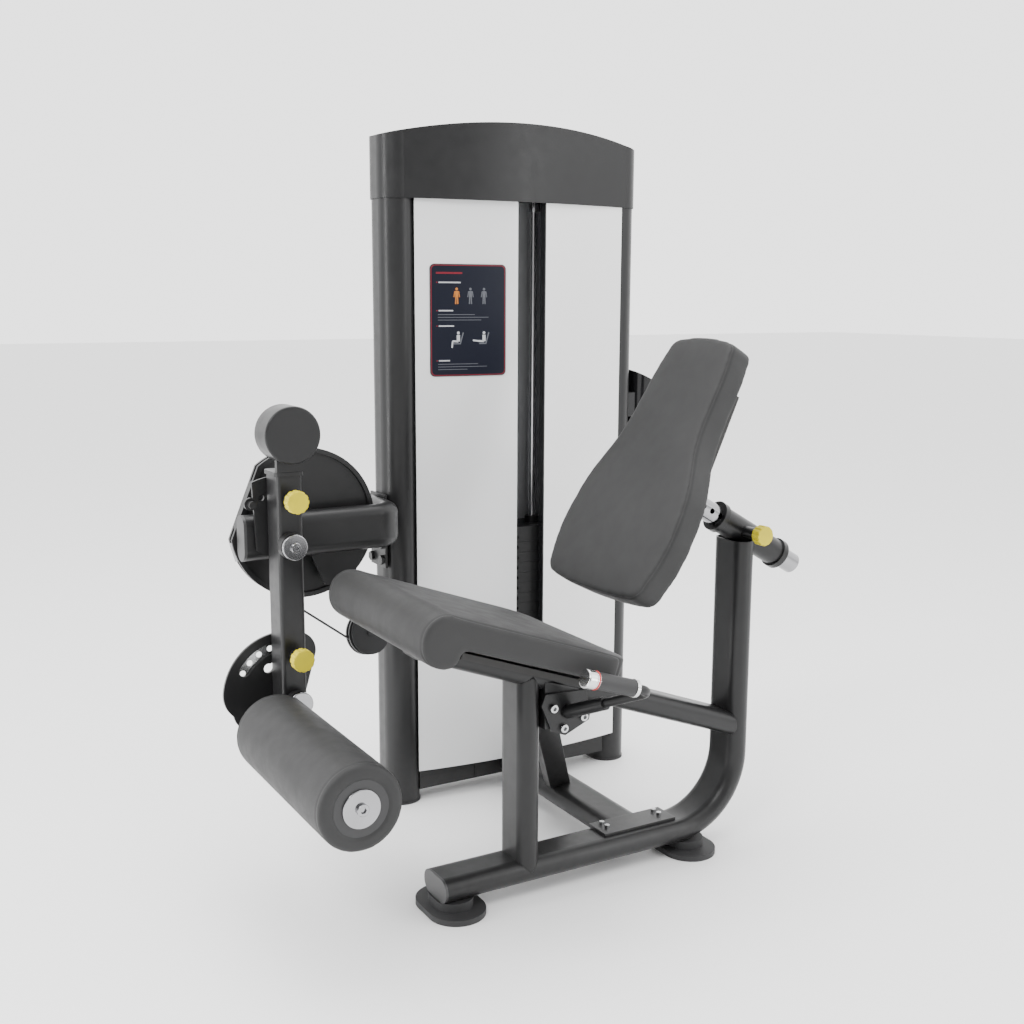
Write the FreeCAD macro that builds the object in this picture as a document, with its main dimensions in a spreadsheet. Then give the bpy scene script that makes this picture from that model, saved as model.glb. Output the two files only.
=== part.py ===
import FreeCAD, Part
import Sketcher

import math
import os

from FreeCAD import Placement, Rotation, Vector

# Leg extension machine: a weight tower, an outrigger arm with cam and lever, and a seat frame.
# Millimetres. +Z up, +X towards the back of the user, +Y from the seat towards the weight tower.
# Lengths are measured from the tower datum (middle of the two uprights' reference line, floor level);
# place() moves every piece by origin_x and origin_y, so the part's origin is the middle of its footprint.

doc = FreeCAD.newDocument("LegExtension")
sheet = doc.addObject("Spreadsheet::Sheet", "Dims")

DIMENSIONS = [
    # part origin measured from the tower datum
    ("origin_x", 198.0),
    ("origin_y", 336.0),
    # flat-oval frame tube
    ("tube_narrow", 48.0),
    ("tube_wide", 96.0),
    ("tube_wall", 3.0),
    # tower
    ("upright_narrow", 84.0),
    ("upright_wide", 110.0),
    ("upright_height", 1505.0),
    ("upright_left_x", -329.0),
    ("upright_right_x", 254.0),
    ("upright_y", 40.0),
    ("base_tube_height", 30.0),
    ("base_tube_depth", 50.0),
    ("base_tube_low", 27.0),
    ("panel_low", 76.0),
    ("panel_high", 1400.0),
    ("sheet_wall", 2.0),
    ("cap_low", 1389.0),
    ("cap_end_high", 1522.0),
    ("cap_crown", 38.0),
    # weight stack
    ("plate_width", 220.0),
    ("plate_depth", 100.0),
    ("plate_pitch", 25.0),
    ("plate_thick", 24.6),
    ("plate_low", 124.5),
    ("lower_count", 8.0),
    ("lifted_count", 11.0),
    ("head_thick", 37.0),
    ("rod_spacing", 140.0),
    ("rod_radius", 9.0),
    # seat frame
    ("seat_y", -510.0),
    ("base_z", 52.0),
    ("base_front_x", -509.0),
    ("base_bend", 155.0),
    ("rear_post_x", 210.0),
    ("rear_post_top", 672.0),
    ("front_post_x", -319.0),
    ("rail_angle", 20.2),
    ("rail_front_x", -545.0),
    ("rail_front_z", 541.0),
    ("cross_x", -36.0),
    ("seat_width", 430.0),
    # back adjuster
    ("back_angle", 29.8),
    ("sleeve_radius", 29.0),
    ("slider_radius", 22.5),
    ("back_thick", 62.0),
    ("back_length", 560.0),
    # lever group
    ("pivot_x", -676.0),
    ("pivot_z", 689.0),
    ("shaft_radius", 15.0),
    ("lever_width", 52.0),
    ("lever_depth", 70.0),
    ("lever_y", -176.0),
    ("lever_low", 328.0),
    ("lever_high", 828.0),
    ("arm_y", -95.0),
    ("arm_leg_x", -400.0),
    ("arm_bend", 40.0),
    ("cam_y", -50.0),
    ("cam_centre_x", -588.0),
    ("cam_centre_z", 698.0),
    ("cam_radius", 161.0),
    ("cam_cable_radius", 154.0),
    ("counterweight_z", 911.0),
    ("counterweight_radius", 57.0),
    ("ankle_x", -672.0),
    ("ankle_z", 365.0),
    ("quadrant_radius", 128.0),
    ("roller_x", -733.0),
    ("roller_z", 322.0),
    ("roller_radius", 79.0),
    ("roller_near_y", -687.0),
    ("roller_far_y", -241.0),
    ("roller_shaft_radius", 12.5),
    # cable
    ("cable_radius", 2.5),
    ("pulley_radius", 46.0),
    ("side_pulley_radius", 33.0),
    ("top_pulley_radius", 30.0),
    ("top_pulley_z", 1478.0),
    ("low_pulley_z", 595.6),
    ("pulley_cover", 5.0),
    ("running_gap", 0.05),
]

for row, (alias, number) in enumerate(DIMENSIONS, start=1):
    sheet.set("A%d" % row, alias)
    sheet.set("B%d" % row, repr(number))
    sheet.setAlias("B%d" % row, alias)
doc.recompute()


def dim(alias):
    return float(sheet.get(alias))


parts = {}
Y_AXIS = Vector(0, 1, 0)
Z_AXIS = Vector(0, 0, 1)


def here(x, y, z):
    """A point given from the tower datum, in the part's own frame."""
    return Vector(x + dim("origin_x"), y + dim("origin_y"), z)


def keep(label, obj):
    obj.Label = label
    parts[label] = obj
    return obj


def place(obj, x, y, z, rotation=None):
    obj.Placement = Placement(here(x, y, z), rotation or Rotation())
    return obj


def bind(obj, **expressions):
    for name, text in expressions.items():
        obj.setExpression(name, text)
    return obj


# ---------------------------------------------------------------- sketches and PartDesign bodies


def plane(body, role):
    for feature in body.Origin.OriginFeatures:
        if feature.Role == role:
            return feature
    raise ValueError(role)


def new_body(name):
    return doc.addObject("PartDesign::Body", name)


def new_sketch(body, name, role="XY_Plane"):
    sketch = body.newObject("Sketcher::SketchObject", name)
    sketch.AttachmentSupport = [(plane(body, role), "")]
    sketch.MapMode = "FlatFace"
    return sketch


def dimension(sketch, constraint, name, text):
    """Adds a constraint, names it and binds it to the sheet."""
    index = sketch.addConstraint(constraint)
    sketch.renameConstraint(index, name)
    sketch.setExpression("Constraints." + name, text)


def add_circle(sketch, name, radius_text, radius, x=0.0, y=0.0):
    g = sketch.addGeometry(Part.Circle(Vector(x, y, 0), Z_AXIS, radius), False)
    if abs(x) < 1e-9 and abs(y) < 1e-9:
        sketch.addConstraint(Sketcher.Constraint("Coincident", g, 3, -1, 1))
    else:
        sketch.addConstraint(Sketcher.Constraint("DistanceX", -1, 1, g, 3, x))
        sketch.addConstraint(Sketcher.Constraint("DistanceY", -1, 1, g, 3, y))
    dimension(sketch, Sketcher.Constraint("Radius", g, radius), name, radius_text)


def add_oval(sketch, name, narrow_text, wide_text, narrow, wide):
    """A flat oval about the sketch origin: narrow along X, wide along Y."""
    r = narrow / 2
    c = (wide - narrow) / 2
    top = Part.ArcOfCircle(Part.Circle(Vector(0, c, 0), Z_AXIS, r), 0, math.pi)
    low = Part.ArcOfCircle(Part.Circle(Vector(0, -c, 0), Z_AXIS, r), math.pi, 2 * math.pi)
    left = Part.LineSegment(Vector(-r, c, 0), Vector(-r, -c, 0))
    right = Part.LineSegment(Vector(r, -c, 0), Vector(r, c, 0))
    t, le, lo, ri = [sketch.addGeometry(g, False) for g in (top, left, low, right)]
    for a, pa, b, pb in ((t, 2, le, 1), (le, 2, lo, 1), (lo, 2, ri, 1), (ri, 2, t, 1)):
        sketch.addConstraint(Sketcher.Constraint("Tangent", a, pa, b, pb))
    sketch.addConstraint(Sketcher.Constraint("Vertical", le))
    sketch.addConstraint(Sketcher.Constraint("Symmetric", t, 3, lo, 3, -1, 1))
    dimension(sketch, Sketcher.Constraint("Radius", t, r), name + "_end", narrow_text + " / 2")
    spread = wide_text + " - " + narrow_text
    dimension(sketch, Sketcher.Constraint("DistanceY", lo, 3, t, 3, 2 * c), name + "_spread", spread)


def add_rectangle(sketch, name, width_text, height_text, width, height):
    """A rectangle about the sketch origin."""
    a, b = width / 2, height / 2
    corners = [Vector(-a, -b, 0), Vector(a, -b, 0), Vector(a, b, 0), Vector(-a, b, 0)]
    g = []
    for i in range(4):
        g.append(sketch.addGeometry(Part.LineSegment(corners[i], corners[(i + 1) % 4]), False))
    for i in range(4):
        sketch.addConstraint(Sketcher.Constraint("Coincident", g[i], 2, g[(i + 1) % 4], 1))
    for i, kind in enumerate(("Horizontal", "Vertical", "Horizontal", "Vertical")):
        sketch.addConstraint(Sketcher.Constraint(kind, g[i]))
    sketch.addConstraint(Sketcher.Constraint("Symmetric", g[0], 1, g[1], 2, -1, 1))
    dimension(sketch, Sketcher.Constraint("DistanceX", g[0], 1, g[0], 2, width), name + "_w", width_text)
    dimension(sketch, Sketcher.Constraint("DistanceY", g[1], 1, g[1], 2, height), name + "_h", height_text)


def pad(body, sketch, name, length_text, length):
    feature = body.newObject("PartDesign::Pad", name)
    feature.Profile = sketch
    feature.Length = length
    feature.setExpression("Length", length_text)
    return feature


def oval_tube(name, narrow, wide, wall, length_text, length):
    """A flat-oval tube standing on its own XY plane; wall is None for a solid bar."""
    body = new_body(name)
    sketch = new_sketch(body, name + "_section")
    add_oval(sketch, "outer", "Dims." + narrow, "Dims." + wide, dim(narrow), dim(wide))
    if wall:
        n_text = "(Dims.%s - 2 * Dims.%s)" % (narrow, wall)
        w_text = "(Dims.%s - 2 * Dims.%s)" % (wide, wall)
        add_oval(sketch, "inner", n_text, w_text, dim(narrow) - 2 * dim(wall), dim(wide) - 2 * dim(wall))
    pad(body, sketch, name + "_pad", length_text, length)
    return body


def box_tube(name, width_text, depth_text, width, depth, wall, length_text, length):
    body = new_body(name)
    sketch = new_sketch(body, name + "_section")
    add_rectangle(sketch, "outer", width_text, depth_text, width, depth)
    if wall:
        inner = " - 2 * %g" % wall
        add_rectangle(sketch, "inner", width_text + inner, depth_text + inner, width - 2 * wall, depth - 2 * wall)
    pad(body, sketch, name + "_pad", length_text, length)
    return body


# ---------------------------------------------------------------- Part primitives and booleans


def cylinder(name, radius, height, x, y, z, axis=Z_AXIS):
    """radius and height are numbers or expressions; the base circle's centre is x, y, z."""
    obj = doc.addObject("Part::Cylinder", name)
    for prop, value in (("Radius", radius), ("Height", height)):
        if isinstance(value, str):
            obj.setExpression(prop, value)
        else:
            setattr(obj, prop, value)
    return place(obj, x, y, z, Rotation(Z_AXIS, axis))


def box(name, x, y, z, width, depth, height):
    """A box whose lowest corner is x, y, z."""
    obj = doc.addObject("Part::Box", name)
    for prop, value in (("Length", width), ("Width", depth), ("Height", height)):
        if isinstance(value, str):
            obj.setExpression(prop, value)
        else:
            setattr(obj, prop, value)
    return place(obj, x, y, z)


def cut(name, base, tool):
    obj = doc.addObject("Part::Cut", name)
    obj.Base = base
    obj.Tool = tool
    return obj


def cut_all(name, base, tools):
    for i, tool in enumerate(tools):
        base = cut("%s_cut%d" % (name, i), base, tool)
    return base


def fuse(name, shapes):
    obj = doc.addObject("Part::MultiFuse", name)
    obj.Shapes = shapes
    return obj


def group(name, shapes):
    """Several separate solids of one kind that share a node."""
    obj = doc.addObject("Part::Compound", name)
    obj.Links = shapes
    return obj


def common(name, base, tool):
    obj = doc.addObject("Part::Common", name)
    obj.Base = base
    obj.Tool = tool
    return obj


def feature(name, shape):
    obj = doc.addObject("Part::Feature", name)
    obj.Shape = shape
    return place(obj, 0, 0, 0)


def cylinder_ring(name, outer, inner, height, x, y, z, axis=Z_AXIS):
    return cut(
        name,
        cylinder(name + "_outer", outer, height, x, y, z, axis),
        cylinder(name + "_bore", inner, height, x, y, z, axis),
    )


def pipe(points_and_arcs, radius):
    """A round bar along a wire of tangent edges."""
    wire = Part.Wire(points_and_arcs)
    start = wire.Edges[0]
    tangent = start.tangentAt(start.FirstParameter)
    point = start.valueAt(start.FirstParameter)
    circle = Part.Wire(Part.Circle(point, tangent, radius).toShape())
    return wire.makePipeShell([circle], True, False)


def arc_edge(centre, start, end, through):
    """The arc about centre from start to end that passes on the side of through."""
    radius = (start - centre).Length
    middle = through - centre
    middle.normalize()
    return Part.Arc(start, centre + middle * radius, end).toShape()


def line_edge(a, b):
    return Part.LineSegment(a, b).toShape()


def prism(points, direction):
    wire = Part.makePolygon(points + [points[0]])
    return Part.Face(wire).extrude(direction)


# ---------------------------------------------------------------- seat frame


def tilt(angle):
    """Turns local Z to point along +X and down by angle."""
    return Rotation(Y_AXIS, 90 + angle)


def swept_oval(narrow, wide, edges, across):
    """A flat-oval bar along a wire of tangent edges; across is the direction of its wide side."""
    wire = Part.Wire(edges)
    start = wire.Edges[0].valueAt(wire.Edges[0].FirstParameter)
    along = wire.Edges[0].tangentAt(wire.Edges[0].FirstParameter)
    side = along.cross(across)
    side.normalize()
    r = narrow / 2
    c = (wide - narrow) / 2
    a1 = start + across * c + side * r
    a2 = start + across * c - side * r
    b1 = start - across * c + side * r
    b2 = start - across * c - side * r
    top = Part.Arc(a1, start + across * (c + r), a2).toShape()
    low = Part.Arc(b2, start - across * (c + r), b1).toShape()
    profile = Part.Wire([top, line_edge(a2, b2), low, line_edge(b1, a1)])
    return wire.makePipeShell([profile], True, False)


def base_edges(start_x):
    z = dim("base_z")
    y = dim("seat_y")
    x = dim("rear_post_x")
    r = dim("base_bend")
    corner = Vector(x - r, y, z)
    up = Vector(x, y, z + r)
    centre = Vector(x - r, y, z + r)
    return [
        line_edge(Vector(start_x, y, z), corner),
        arc_edge(centre, corner, up, centre + Vector(1, 0, -1)),
        line_edge(up, Vector(x, y, dim("rear_post_top"))),
    ]


def base_solid(narrow, wide):
    return swept_oval(narrow, wide, base_edges(dim("base_front_x") + 5), Y_AXIS)


wall = dim("tube_wall")
narrow = dim("tube_narrow")
wide = dim("tube_wide")
seat_y = dim("seat_y")

base_outer = feature("base_outer", base_solid(narrow, wide))
base_inner = feature("base_inner", base_solid(narrow - 2 * wall, wide - 2 * wall))
back_axis = Vector(math.cos(math.radians(dim("back_angle"))), 0, -math.sin(math.radians(dim("back_angle"))))
back_turn = tilt(dim("back_angle"))
AXIS_START = Vector(140, seat_y, 734)


def on_back_axis(distance):
    """A point on the back adjuster's axis, counted from where the slider leaves the pad."""
    return AXIS_START + back_axis * distance


def along_back(name, radius, length, distance):
    p = on_back_axis(distance)
    obj = cylinder(name, radius, length, p.x, p.y, p.z)
    obj.Placement = Placement(here(p.x, p.y, p.z), back_turn)
    return obj


SLEEVE_START = 30.0
SLEEVE_LENGTH = 176.0
sleeve_space = along_back("sleeve_space", "Dims.sleeve_radius", SLEEVE_LENGTH, SLEEVE_START)
keep("base_tube", cut_all("base_tube", base_outer, [base_inner, sleeve_space]))

rail_length = (dim("rear_post_x") - dim("rail_front_x")) / math.cos(math.radians(dim("rail_angle")))
rail_text = "(Dims.rear_post_x - Dims.rail_front_x) / cos(Dims.rail_angle)"
rail_turn = tilt(dim("rail_angle"))


def on_rail(name, body):
    return place(body, dim("rail_front_x"), seat_y, dim("rail_front_z"), rail_turn)


rail_outer = on_rail("rail", oval_tube("rail_outer", "tube_narrow", "tube_wide", None, rail_text, rail_length))
rail_raw = on_rail("rail", oval_tube("rail_raw", "tube_narrow", "tube_wide", "tube_wall", rail_text, rail_length))
rear_trim = box("rail_rear_trim", dim("rear_post_x") - 16, seat_y - 60, 200, 80, 120, 200)
keep("seat_rail", cut_all("seat_rail_cut", rail_raw, [base_outer, rear_trim]))

post_length = 406.0
front_raw = oval_tube("front_raw", "tube_narrow", "tube_wide", "tube_wall", "406", post_length)
place(front_raw, dim("front_post_x"), seat_y, dim("base_z"))
keep("front_post", cut_all("front_post", front_raw, [base_outer, rail_outer]))

cross_end = -8.0
cross_length = cross_end - seat_y
cross_raw = oval_tube("cross_raw", "tube_narrow", "tube_wide", "tube_wall", "%g - Dims.seat_y" % cross_end, cross_length)
cross_outer = oval_tube("cross_outer", "tube_narrow", "tube_wide", None, "%g - Dims.seat_y" % cross_end, cross_length)
for tube in (cross_raw, cross_outer):
    turn = Rotation(Vector(1, 0, 0), -90).multiply(Rotation(Z_AXIS, 90))
    place(tube, dim("cross_x"), seat_y, dim("base_z"), turn)
FLANGE_THICK = 6.0
flange_z = dim("base_z") + narrow / 2
flange = box("cross_flange", dim("cross_x") - 90, seat_y - 22, flange_z, 180, 62, FLANGE_THICK)
end_plate = box("cross_end_plate", -150, cross_end, 30, 228, 3, 46)
keep("cross_tube", fuse("cross_tube", [cut("cross_coped", cross_raw, base_outer), flange, end_plate]))

strut_foot = Vector(-45, -218, 60)
strut_head = Vector(-266, -482, 401)
strut_dir = strut_head - strut_foot
strut_raw = box_tube("strut_raw", "50", "30", 50, 30, 3, "%g" % strut_dir.Length, strut_dir.Length)
place(strut_raw, strut_foot.x, strut_foot.y, strut_foot.z, Rotation(Z_AXIS, strut_dir))
bracket_outer = box("bracket_outer", -292, seat_y - wide / 2, 346, 78, wide, 96)
bracket_inner = box("bracket_inner", -287, seat_y - wide / 2 + 5, 341, 68, wide - 10, 106)


def rail_z(x):
    """Height of the seat rail's middle line at x."""
    return dim("rail_front_z") - (x - dim("rail_front_x")) * math.tan(math.radians(dim("rail_angle")))


above_rail = feature("above_rail", prism(
    [Vector(-300, seat_y - 60, rail_z(-300)), Vector(-200, seat_y - 60, rail_z(-200)), Vector(-200, seat_y - 60, 480),
     Vector(-300, seat_y - 60, 480)], Y_AXIS * 120))
bracket = cut_all("bracket_coped", bracket_outer, [bracket_inner, rail_outer, above_rail])
PLATE_THICK = 6.0
HANDLE_BOLTS = [(-277, 389), (-253, 345), (-207, 361)]
far_face = seat_y + wide / 2 + PLATE_THICK
bolt_clearance = [cylinder("bolt_clearance%d" % i, 9.5, 10, x, far_face, z, Y_AXIS) for i, (x, z) in
                  enumerate(HANDLE_BOLTS)]
strut_zone = box("strut_zone", -400, far_face, flange_z, 420, 290, 340)
strut = cut_all("strut_notched", common("strut_trim", strut_raw, strut_zone), [cross_outer] + bolt_clearance)

# Handles: a bolted plate, a thick stub, a thinner arm bent back to a forward grip.
PLATE_OUTLINE = [(-303, 396), (-294, 419), (-200, 415), (-190, 365), (-193, 352), (-248, 329), (-279, 341)]
HANDLE_ROOT = Vector(-245, 0, 376)
HANDLE_REACH = Vector(61, -196, 87)
GRIP_DIR = Vector(-math.cos(math.radians(18)), 0, math.sin(math.radians(18)))
GRIP_GAP = 20.0
GRIP_LENGTH = 85.0
GRIP_RADIUS = 16.0
plate_face = seat_y - wide / 2


def handle_path():
    """Root, bend start, bend end and bend centre of the near handle, and the point on the bend."""
    root = Vector(HANDLE_ROOT.x, plate_face - PLATE_THICK, HANDLE_ROOT.z)
    out = Vector(HANDLE_REACH)
    out.normalize()
    corner = root + out * HANDLE_REACH.Length
    radius = 24.0
    turn = out.getAngle(GRIP_DIR)
    back = radius * math.tan(turn / 2)
    start = corner - out * back
    end = corner + GRIP_DIR * back
    bisector = GRIP_DIR - out
    bisector.normalize()
    centre = corner + bisector * (radius / math.cos(turn / 2))
    return root, out, start, end, centre, corner


def handle_shape():
    root, out, start, end, centre, corner = handle_path()
    points = [Vector(x, plate_face - PLATE_THICK, z) for x, z in PLATE_OUTLINE]
    plate = prism(points, Vector(0, PLATE_THICK, 0))
    for x, z in HANDLE_BOLTS:
        hole = Part.makeCylinder(5.5, PLATE_THICK + 2, Vector(x, plate_face - PLATE_THICK - 1, z), Y_AXIS)
        plate = plate.cut(hole)
    stub = Part.makeCylinder(13.5, 104, root, out)
    edges = [line_edge(root + out * 60, start), arc_edge(centre, start, end, corner)]
    edges.append(line_edge(end, end + GRIP_DIR * (GRIP_GAP + GRIP_LENGTH + 4)))
    return plate.fuse(stub).fuse(pipe(edges, 9.0)).removeSplitter()


def mirrored(shape):
    """The same piece on the other side of the seat frame's middle plane."""
    return shape.mirror(Vector(0, seat_y, 0), Y_AXIS)


def pair(name, shape):
    return feature(name, Part.makeCompound([shape, mirrored(shape)]))


def grip_ring(start, outer, inner, length):
    return Part.makeCylinder(outer, length, start, GRIP_DIR).cut(Part.makeCylinder(inner, length, start, GRIP_DIR))


root, out, bend_start, bend_end, bend_centre, bend_corner = handle_path()
keep("handles", pair("handles", handle_shape()))
stub_space = feature("stub_space", mirrored(Part.makeCylinder(14.0, 60, root, out)))
keep("seat_brace", group("seat_brace", [bracket, cut("strut_coped", strut, stub_space)]))
grip_start = bend_end + GRIP_DIR * GRIP_GAP
keep("grips", pair("grips", grip_ring(grip_start, GRIP_RADIUS, 9.0, GRIP_LENGTH)))
knob_start = grip_start + GRIP_DIR * GRIP_LENGTH
knob = Part.makeCylinder(18, 20, knob_start + GRIP_DIR * 6, GRIP_DIR)
knob = knob.makeFillet(3, [e for e in knob.Edges if e.Length > 50])
neck = Part.makeCylinder(16.5, 6, knob_start, GRIP_DIR)
socket = Part.makeCylinder(9.0, 8, knob_start - GRIP_DIR * 4, GRIP_DIR)
end_knob = knob.fuse(neck).cut(socket)
inner_ring = grip_ring(grip_start - GRIP_DIR * 7, 17.0, 9.0, 7)
knobs = Part.makeCompound([end_knob, inner_ring])
keep("grip_knobs", feature("grip_knobs", Part.makeCompound([knobs, mirrored(knobs)])))


def hex_bolt(head, axis, across, height, shank, reach):
    """A bolt whose head stands out along axis from its washer face at head."""
    r = across / math.sqrt(3)
    turn = Rotation(Z_AXIS, axis)
    corners = [head + turn.multVec(Vector(r * math.cos(a), r * math.sin(a), 0)) for a in
               [math.radians(60 * k) for k in range(6)]]
    bolt = prism(corners, axis * height)
    return bolt.fuse(Part.makeCylinder(shank, reach, head, axis * -1))


def socket_bolt(head, axis, radius, height, shank, reach):
    """A round-headed bolt with a hexagon socket, its head standing out along axis from head."""
    turn = Rotation(Z_AXIS, axis)
    floor = head + axis * (height * 0.35)
    corners = [floor + turn.multVec(Vector(math.cos(math.radians(60 * k)), math.sin(math.radians(60 * k)), 0)) *
               (radius * 0.55) for k in range(6)]
    body = Part.makeCylinder(radius, height, head, axis)
    body = body.makeChamfer(0.8, [e for e in body.Edges if (e.BoundBox.Center - head - axis * height).Length < 0.01])
    return body.fuse(Part.makeCylinder(shank, reach, head, axis * -1)).cut(prism(corners, axis * height))


bolts = []
for x, z in HANDLE_BOLTS:
    bolt = socket_bolt(Vector(x, plate_face - PLATE_THICK, z), Y_AXIS * -1, 8.5, 7, 5.45, PLATE_THICK)
    bolts += [bolt, mirrored(bolt)]
for x in (dim("cross_x") - 67, dim("cross_x") + 67):
    for y in (seat_y + 6, seat_y + 26):
        bolts.append(hex_bolt(Vector(x, y, flange_z + FLANGE_THICK), Z_AXIS, 10, 6, 3, 5))
bolt_space = Part.makeCompound([Part.makeCylinder(3.0, 8, Vector(x, y, flange_z - 1)) for x in
                                (dim("cross_x") - 67, dim("cross_x") + 67) for y in (seat_y + 6, seat_y + 26)])
keep("cross_tube", cut("cross_drilled", parts["cross_tube"], feature("flange_holes", bolt_space)))
keep("frame_bolts", feature("frame_bolts", Part.makeCompound(bolts)))

# Back-pad sleeve: a tube with a bush in each end, and a boss for the pull pin on the near side.
BUSH_LENGTH = 14.0
bush_bore = "Dims.slider_radius + Dims.running_gap"
sleeve_tube = cut(
    "sleeve_tube",
    along_back("sleeve_outer", "Dims.sleeve_radius", SLEEVE_LENGTH, SLEEVE_START),
    along_back("sleeve_bore", "Dims.slider_radius + 2.5", SLEEVE_LENGTH, SLEEVE_START),
)
PIN_DISTANCE = 87.0
pin_point = on_back_axis(PIN_DISTANCE)
boss_raw = cylinder("sleeve_boss", 12, 46, pin_point.x, seat_y - 24, pin_point.z, Y_AXIS * -1)
boss = cut("sleeve_boss_coped", boss_raw, parts["base_tube"])
boss_bore = cylinder("sleeve_boss_bore", 5.05, 60, pin_point.x, seat_y - 15, pin_point.z, Y_AXIS * -1)
sleeve_clear = along_back("sleeve_clear", "Dims.slider_radius + 2.5", SLEEVE_LENGTH, SLEEVE_START)
sleeve_body = cut_all("sleeve_body", fuse("sleeve_welded", [sleeve_tube, boss]), [boss_bore, sleeve_clear])
rings = []
for i, distance in enumerate((SLEEVE_START - BUSH_LENGTH, SLEEVE_START + SLEEVE_LENGTH)):
    ring_outer = along_back("bush_outer%d" % i, 33, BUSH_LENGTH, distance)
    ring_bore = along_back("bush_bore%d" % i, bush_bore, BUSH_LENGTH, distance)
    rings.append(cut("bush%d" % i, ring_outer, ring_bore))
keep("back_sleeve", group("back_sleeve", [sleeve_body] + rings))


# Feet: a racetrack disc with a raised boss that reaches the tube.
def racetrack(name, width, length, height_text, height, x, y, z):
    body = new_body(name)
    sketch = new_sketch(body, name + "_outline")
    add_oval(sketch, "outline", "%g" % width, "%g" % length, width, length)
    pad(body, sketch, name + "_pad", height_text, height)
    return place(body, x, y, z)


feet = []
foot_space = feature("foot_space", swept_oval(narrow, wide, base_edges(dim("base_front_x") - 10), Y_AXIS))
for i, x in enumerate((-475.5, 88.0)):
    sole = racetrack("sole%d" % i, 115, 167, "12", 12, x, seat_y, 0)
    boss_body = racetrack("foot_boss%d" % i, 76, 104, "30", 30, x, seat_y, 0)
    solid = fuse("foot%d" % i, [sole, boss_body])
    feet.append(cut("foot_trim%d" % i, solid, foot_space))
keep("seat_feet", group("seat_feet", feet))

# Seat pad: a front roll that runs on into a flat wedge, on a board.
rail_dir = Vector(math.cos(math.radians(19.5)), 0, -math.sin(math.radians(19.5)))
rail_up = Vector(-rail_dir.z, 0, rail_dir.x)
near_y = seat_y - dim("seat_width") / 2
ROLL_CENTRE = Vector(-592, near_y, 602)
SEAT_REAR_X = -190.0


def seat_shape():
    top = ROLL_CENTRE + rail_up * 48
    front = ROLL_CENTRE + Vector(-44, 0, 4)
    low = ROLL_CENTRE + Vector(2, 0, -50)
    notch = ROLL_CENTRE + Vector(34, 0, -20)
    top_start = top + rail_dir * 8
    reach = (SEAT_REAR_X - top_start.x) / rail_dir.x
    rear_top = top_start + rail_dir * reach
    rear_low = rear_top - rail_up * 55
    edges = [
        line_edge(top_start, rear_top),
        line_edge(rear_top, rear_low),
        line_edge(rear_low, notch),
        Part.Arc(notch, ROLL_CENTRE + Vector(26, 0, -42), low).toShape(),
        Part.Arc(low, ROLL_CENTRE + Vector(-36, 0, -28), front).toShape(),
        Part.Arc(front, ROLL_CENTRE + Vector(-28, 0, 40), top_start).toShape(),
    ]
    solid = Part.Face(Part.Wire(edges)).extrude(Vector(0, dim("seat_width"), 0))
    rear = [e for e in solid.Edges if abs(e.Length - 55) < 0.5 and e.BoundBox.YLength < 1]
    return solid.makeFillet(60, rear)


keep("seat_pad", feature("seat_pad", seat_shape()))
board = box_tube("seat_board", "12", "340", 12, 340, 0, "330", 330)
board_start = Vector(-545, seat_y, 582) + rail_dir * 14 - rail_up * 17
place(board, board_start.x, board_start.y, board_start.z, tilt(19.5))
keep("seat_board", cut_all("seat_board_cut", board, [parts["seat_pad"], rail_outer]))

# ---------------------------------------------------------------- weight tower

left_x = dim("upright_left_x")
right_x = dim("upright_right_x")
tower_y = dim("upright_y")
middle_x = (left_x + right_x) / 2
FOOT_PAD = 5.0
upright_text = "Dims.upright_height - %g" % FOOT_PAD
upright_length = dim("upright_height") - FOOT_PAD
upright_bars = []
for side, x in (("left", left_x), ("right", right_x)):
    name = "upright_" + side
    tube = oval_tube(name + "_tube", "upright_narrow", "upright_wide", "tube_wall", upright_text, upright_length)
    bar = oval_tube(name + "_bar", "upright_narrow", "upright_wide", None, upright_text, upright_length)
    keep(name, place(tube, x, tower_y, FOOT_PAD))
    upright_bars.append(place(bar, x, tower_y, FOOT_PAD))

STACK_BASE_Z = 76.0
RISE = Vector(-170, 25, dim("low_pulley_z"))
BEAM_LOW = 1395.0
between = right_x - left_x - dim("upright_narrow") + 20


def between_uprights(name, y, depth, low, height, wall_text):
    tube = box_tube(name + "_raw", "%g" % height, "%g" % depth, height, depth, wall_text, "%g" % between, between)
    place(tube, middle_x - between / 2, y + depth / 2, low + height / 2, Rotation(Y_AXIS, 90))
    return cut_all(name, tube, upright_bars)


base_low = dim("base_tube_low")
rails = [
    between_uprights("front_base", -5, dim("base_tube_depth"), base_low, dim("base_tube_height"), 3),
    between_uprights("rear_base", 50, 38, base_low, dim("base_tube_height"), 3),
    between_uprights("stack_base", -5, 95, base_low + dim("base_tube_height"), STACK_BASE_Z - 57, 3),
    between_uprights("top_beam", 20, 40, BEAM_LOW, 30, 3),
]
cable_slots = [
    cylinder("rise_slot", 8, 60, RISE.x, RISE.y, BEAM_LOW - 15),
    cylinder("fall_slot", 8, 60, middle_x, tower_y, BEAM_LOW - 15),
]
rails[3] = cut_all("top_beam_slotted", rails[3], cable_slots)
keep("tower_rails", group("tower_rails", rails))

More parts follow.
